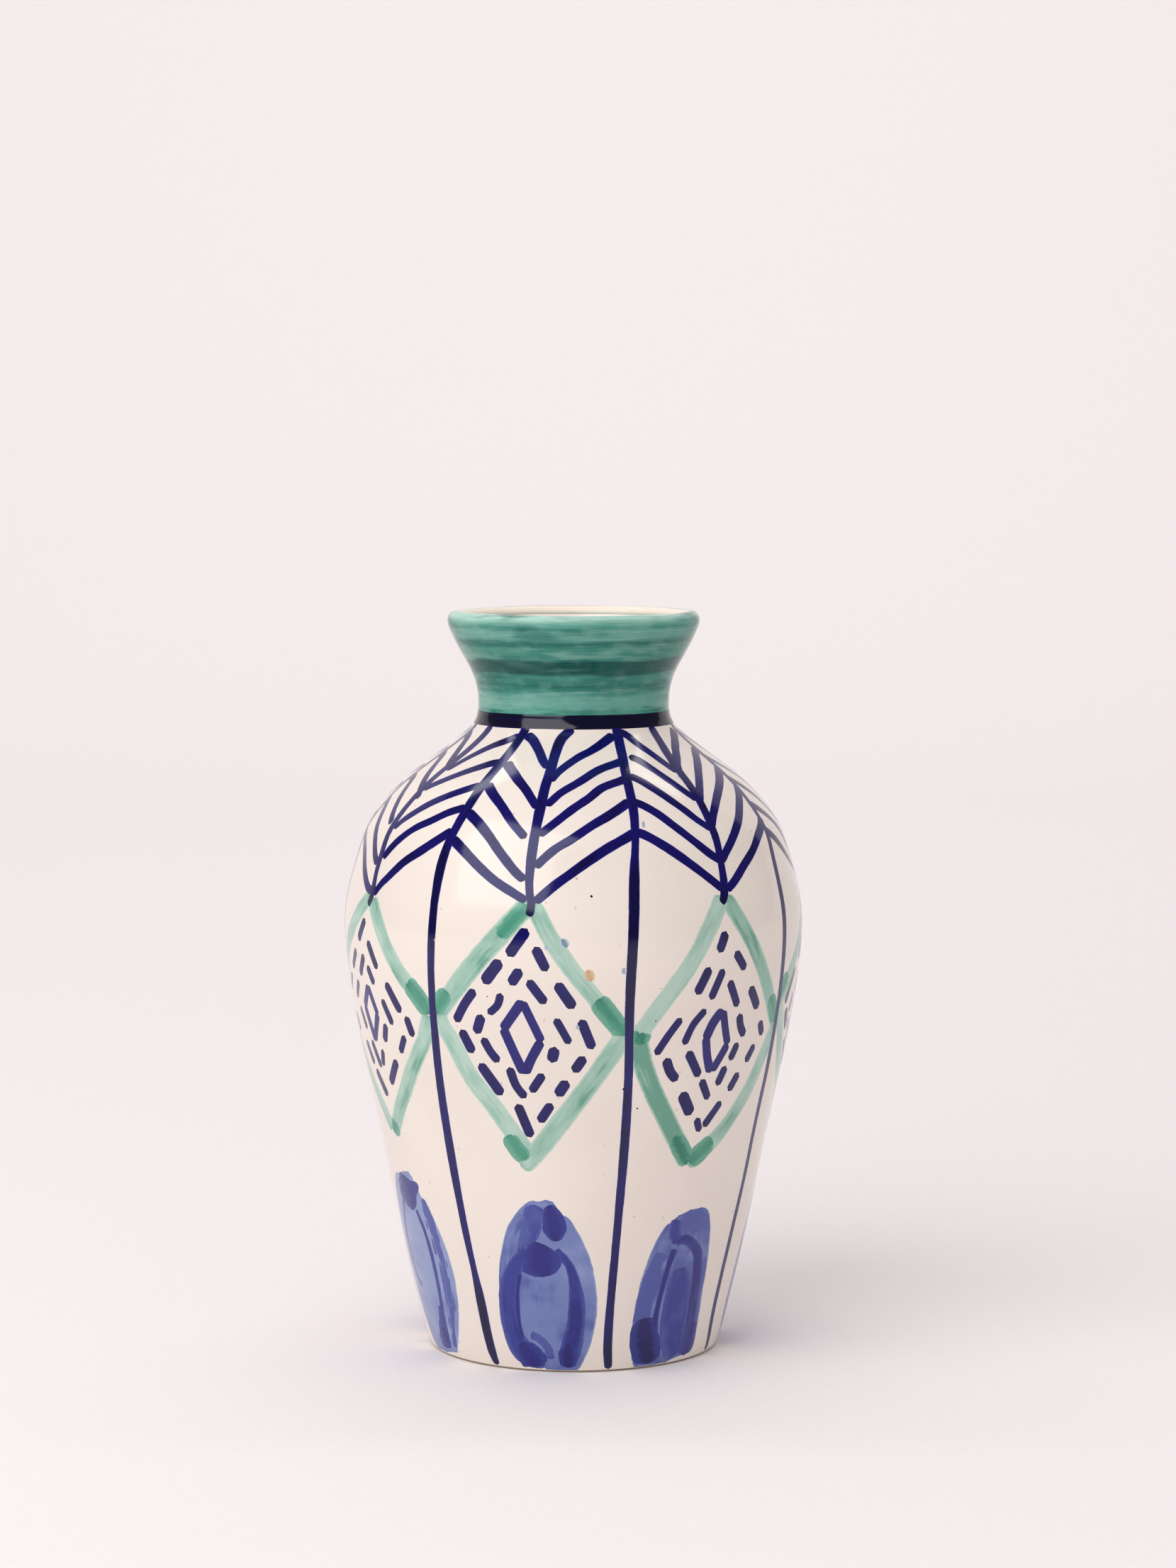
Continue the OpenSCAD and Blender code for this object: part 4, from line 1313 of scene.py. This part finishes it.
speck_brown = brushed("iron_speck", tint(32, 24, 22), tint(58, 42, 36), tint(110, 88, 76), GROUND,
                      0.4, 0.5)
marks = [even([(4.4, 129.6), (4.8, 129.0)], 0.3), even([(13.3, 78.9), (13.4, 78.3)], 0.34),
         even([(17.4, 73.4), (17.5, 72.9)], 0.26), even([(20.8, 96.8), (20.9, 96.3)], 0.22),
         even([(-21.3, 103.2), (-21.2, 102.8)], 0.2)]
paint("kiln_specks", marks + speck_list(46, 12), speck_brown, film=0.05, step=0.12,
      ring=8, wander=0.02, seed=12.0)
faint_blue = brushed("faint_blue", tint(110, 142, 160), tint(184, 188, 212), tint(206, 206, 216),
                     GROUND, 0.5, 0.5)
smudges = [even([(20.4, 147.6), (20.1, 146)], 0.5, 0.4), even([(-6.3, 117), (-6.1, 115.6)], 0.8),
           even([(12.2, 111), (12.4, 109.2)], 0.8), even([(1, 96), (1.3, 94.8)], 0.6),
           even([(-2.6, 118.6), (-1.4, 116.2)], 1.3, 1.0), even([(152, 60), (152.5, 57)], 0.8),
           even([(-36, 117.6), (-35.4, 116.2)], 0.6), even([(-140, 140), (-139.5, 137)], 0.7)]
paint("stray_blue_marks", smudges, faint_blue, film=0.05, step=0.4, ring=10,
      wander=0.12, width_wander=0.2, seed=13.0)
rust = brushed("rust_stain", tint(184, 134, 96), tint(198, 152, 114), tint(212, 184, 152), GROUND,
               0.5, 0.8)
paint("rust_stain", [even([(3.5, 110.6), (4.4, 107.4)], 1.5), even([(-100, 92), (-99, 91)], 0.6)],
      rust, film=0.05, step=0.4, ring=10, wander=0.25, width_wander=0.2, seed=14.0)

# %% [markdown]
# ## Studio
# The vase stands on a pale sheet that curves up behind it, so no edge shows. One big softbox
# stands at the front left and gives the wide soft highlight on the shoulder and the bright patch
# on the cobalt band. A second light evens out the sheet behind. The room fills the shadows, but
# a dark glossy glaze shows whatever stands around it, and a bright room would turn the cobalt
# grey. A photographer hangs black cloth out of view for this; here the room is simply darker
# for the rays that come off a shiny surface.

# %% Backdrop sheet
SHEET_FRONT, SHEET_HALF, SHEET_TOP = -7.0, 4.0, 4.5
BEND_AT, BEND_R = 1.6, 1.2
sheet_rows = [(SHEET_FRONT, 0.0), (BEND_AT, 0.0)]
for degrees in range(6, 91, 6):
    a = math.radians(degrees)
    sheet_rows.append((BEND_AT + BEND_R * math.sin(a), BEND_R - BEND_R * math.cos(a)))
sheet_rows.append((BEND_AT + BEND_R, SHEET_TOP))
corners, faces = [], []
for y, z in sheet_rows:
    corners += [(-SHEET_HALF, y, z), (SHEET_HALF, y, z)]
for k in range(len(sheet_rows) - 1):
    faces.append((2 * k, 2 * k + 1, 2 * k + 3, 2 * k + 2))
sheet = bpy.data.meshes.new("studio_sheet")
sheet.from_pydata(corners, [], faces)
sheet.polygons.foreach_set("use_smooth", [True] * len(faces))
backdrop = add_object("studio_sheet", sheet)
paper = Glaze("studio_paper", roughness=0.9, shine=0.2)
tooth = paper.noise(paper.place(), 300.0, 3.0)
paper.paint("Base Color", paper.mix(tint(238, 232, 233), tint(234, 228, 229), tooth))
sheet.materials.append(paper.material)
print("backdrop faces:", len(faces))

# %% Lights
DAYLIGHT = (1.0, 0.985, 0.975)


def soft_light(name, place, towards, width, depth, power):
    light = bpy.data.lights.new(name, "AREA")
    light.shape = "RECTANGLE"
    light.size, light.size_y = width, depth
    light.energy = power
    light.color = DAYLIGHT
    lamp = add_object(name, light)
    lamp.location = place
    lamp.rotation_euler = (Vector(towards) - Vector(place)).to_track_quat("-Z", "Y").to_euler()
    print(name, "at", [round(v, 2) for v in place], "with", power, "W")


middle = Vector((0.0, 0.0, 0.12))
soft_light("softbox", middle + Vector((-0.48, -0.60, 0.66)).normalized() * 1.5, middle,
           1.35, 1.30, 13.8)
soft_light("backdrop_light", (0.0, 1.0, 2.6), (0.0, 2.6, 0.9), 3.2, 0.8, 29.0)

ROOM, IN_VIEW, BLACK_CLOTH = 0.66, 0.12, 0.54
room = bpy.data.worlds.new("bright_room")
bpy.context.scene.world = room
room.use_nodes = True
air = Board(room.node_tree)
rays = air.add("ShaderNodeLightPath")
seen, mirrored = rays.at("Is Camera Ray"), rays.at("Is Glossy Ray")
shade = room.node_tree.nodes["Background"]
shade.inputs["Color"].default_value = (1.0, 0.985, 0.98, 1.0)
strength = ROOM + seen * IN_VIEW - mirrored * BLACK_CLOTH
air.feed(shade.inputs["Strength"], strength)
print("room strength:", ROOM, " as shiny surfaces see it:", round(ROOM - BLACK_CLOTH, 2))
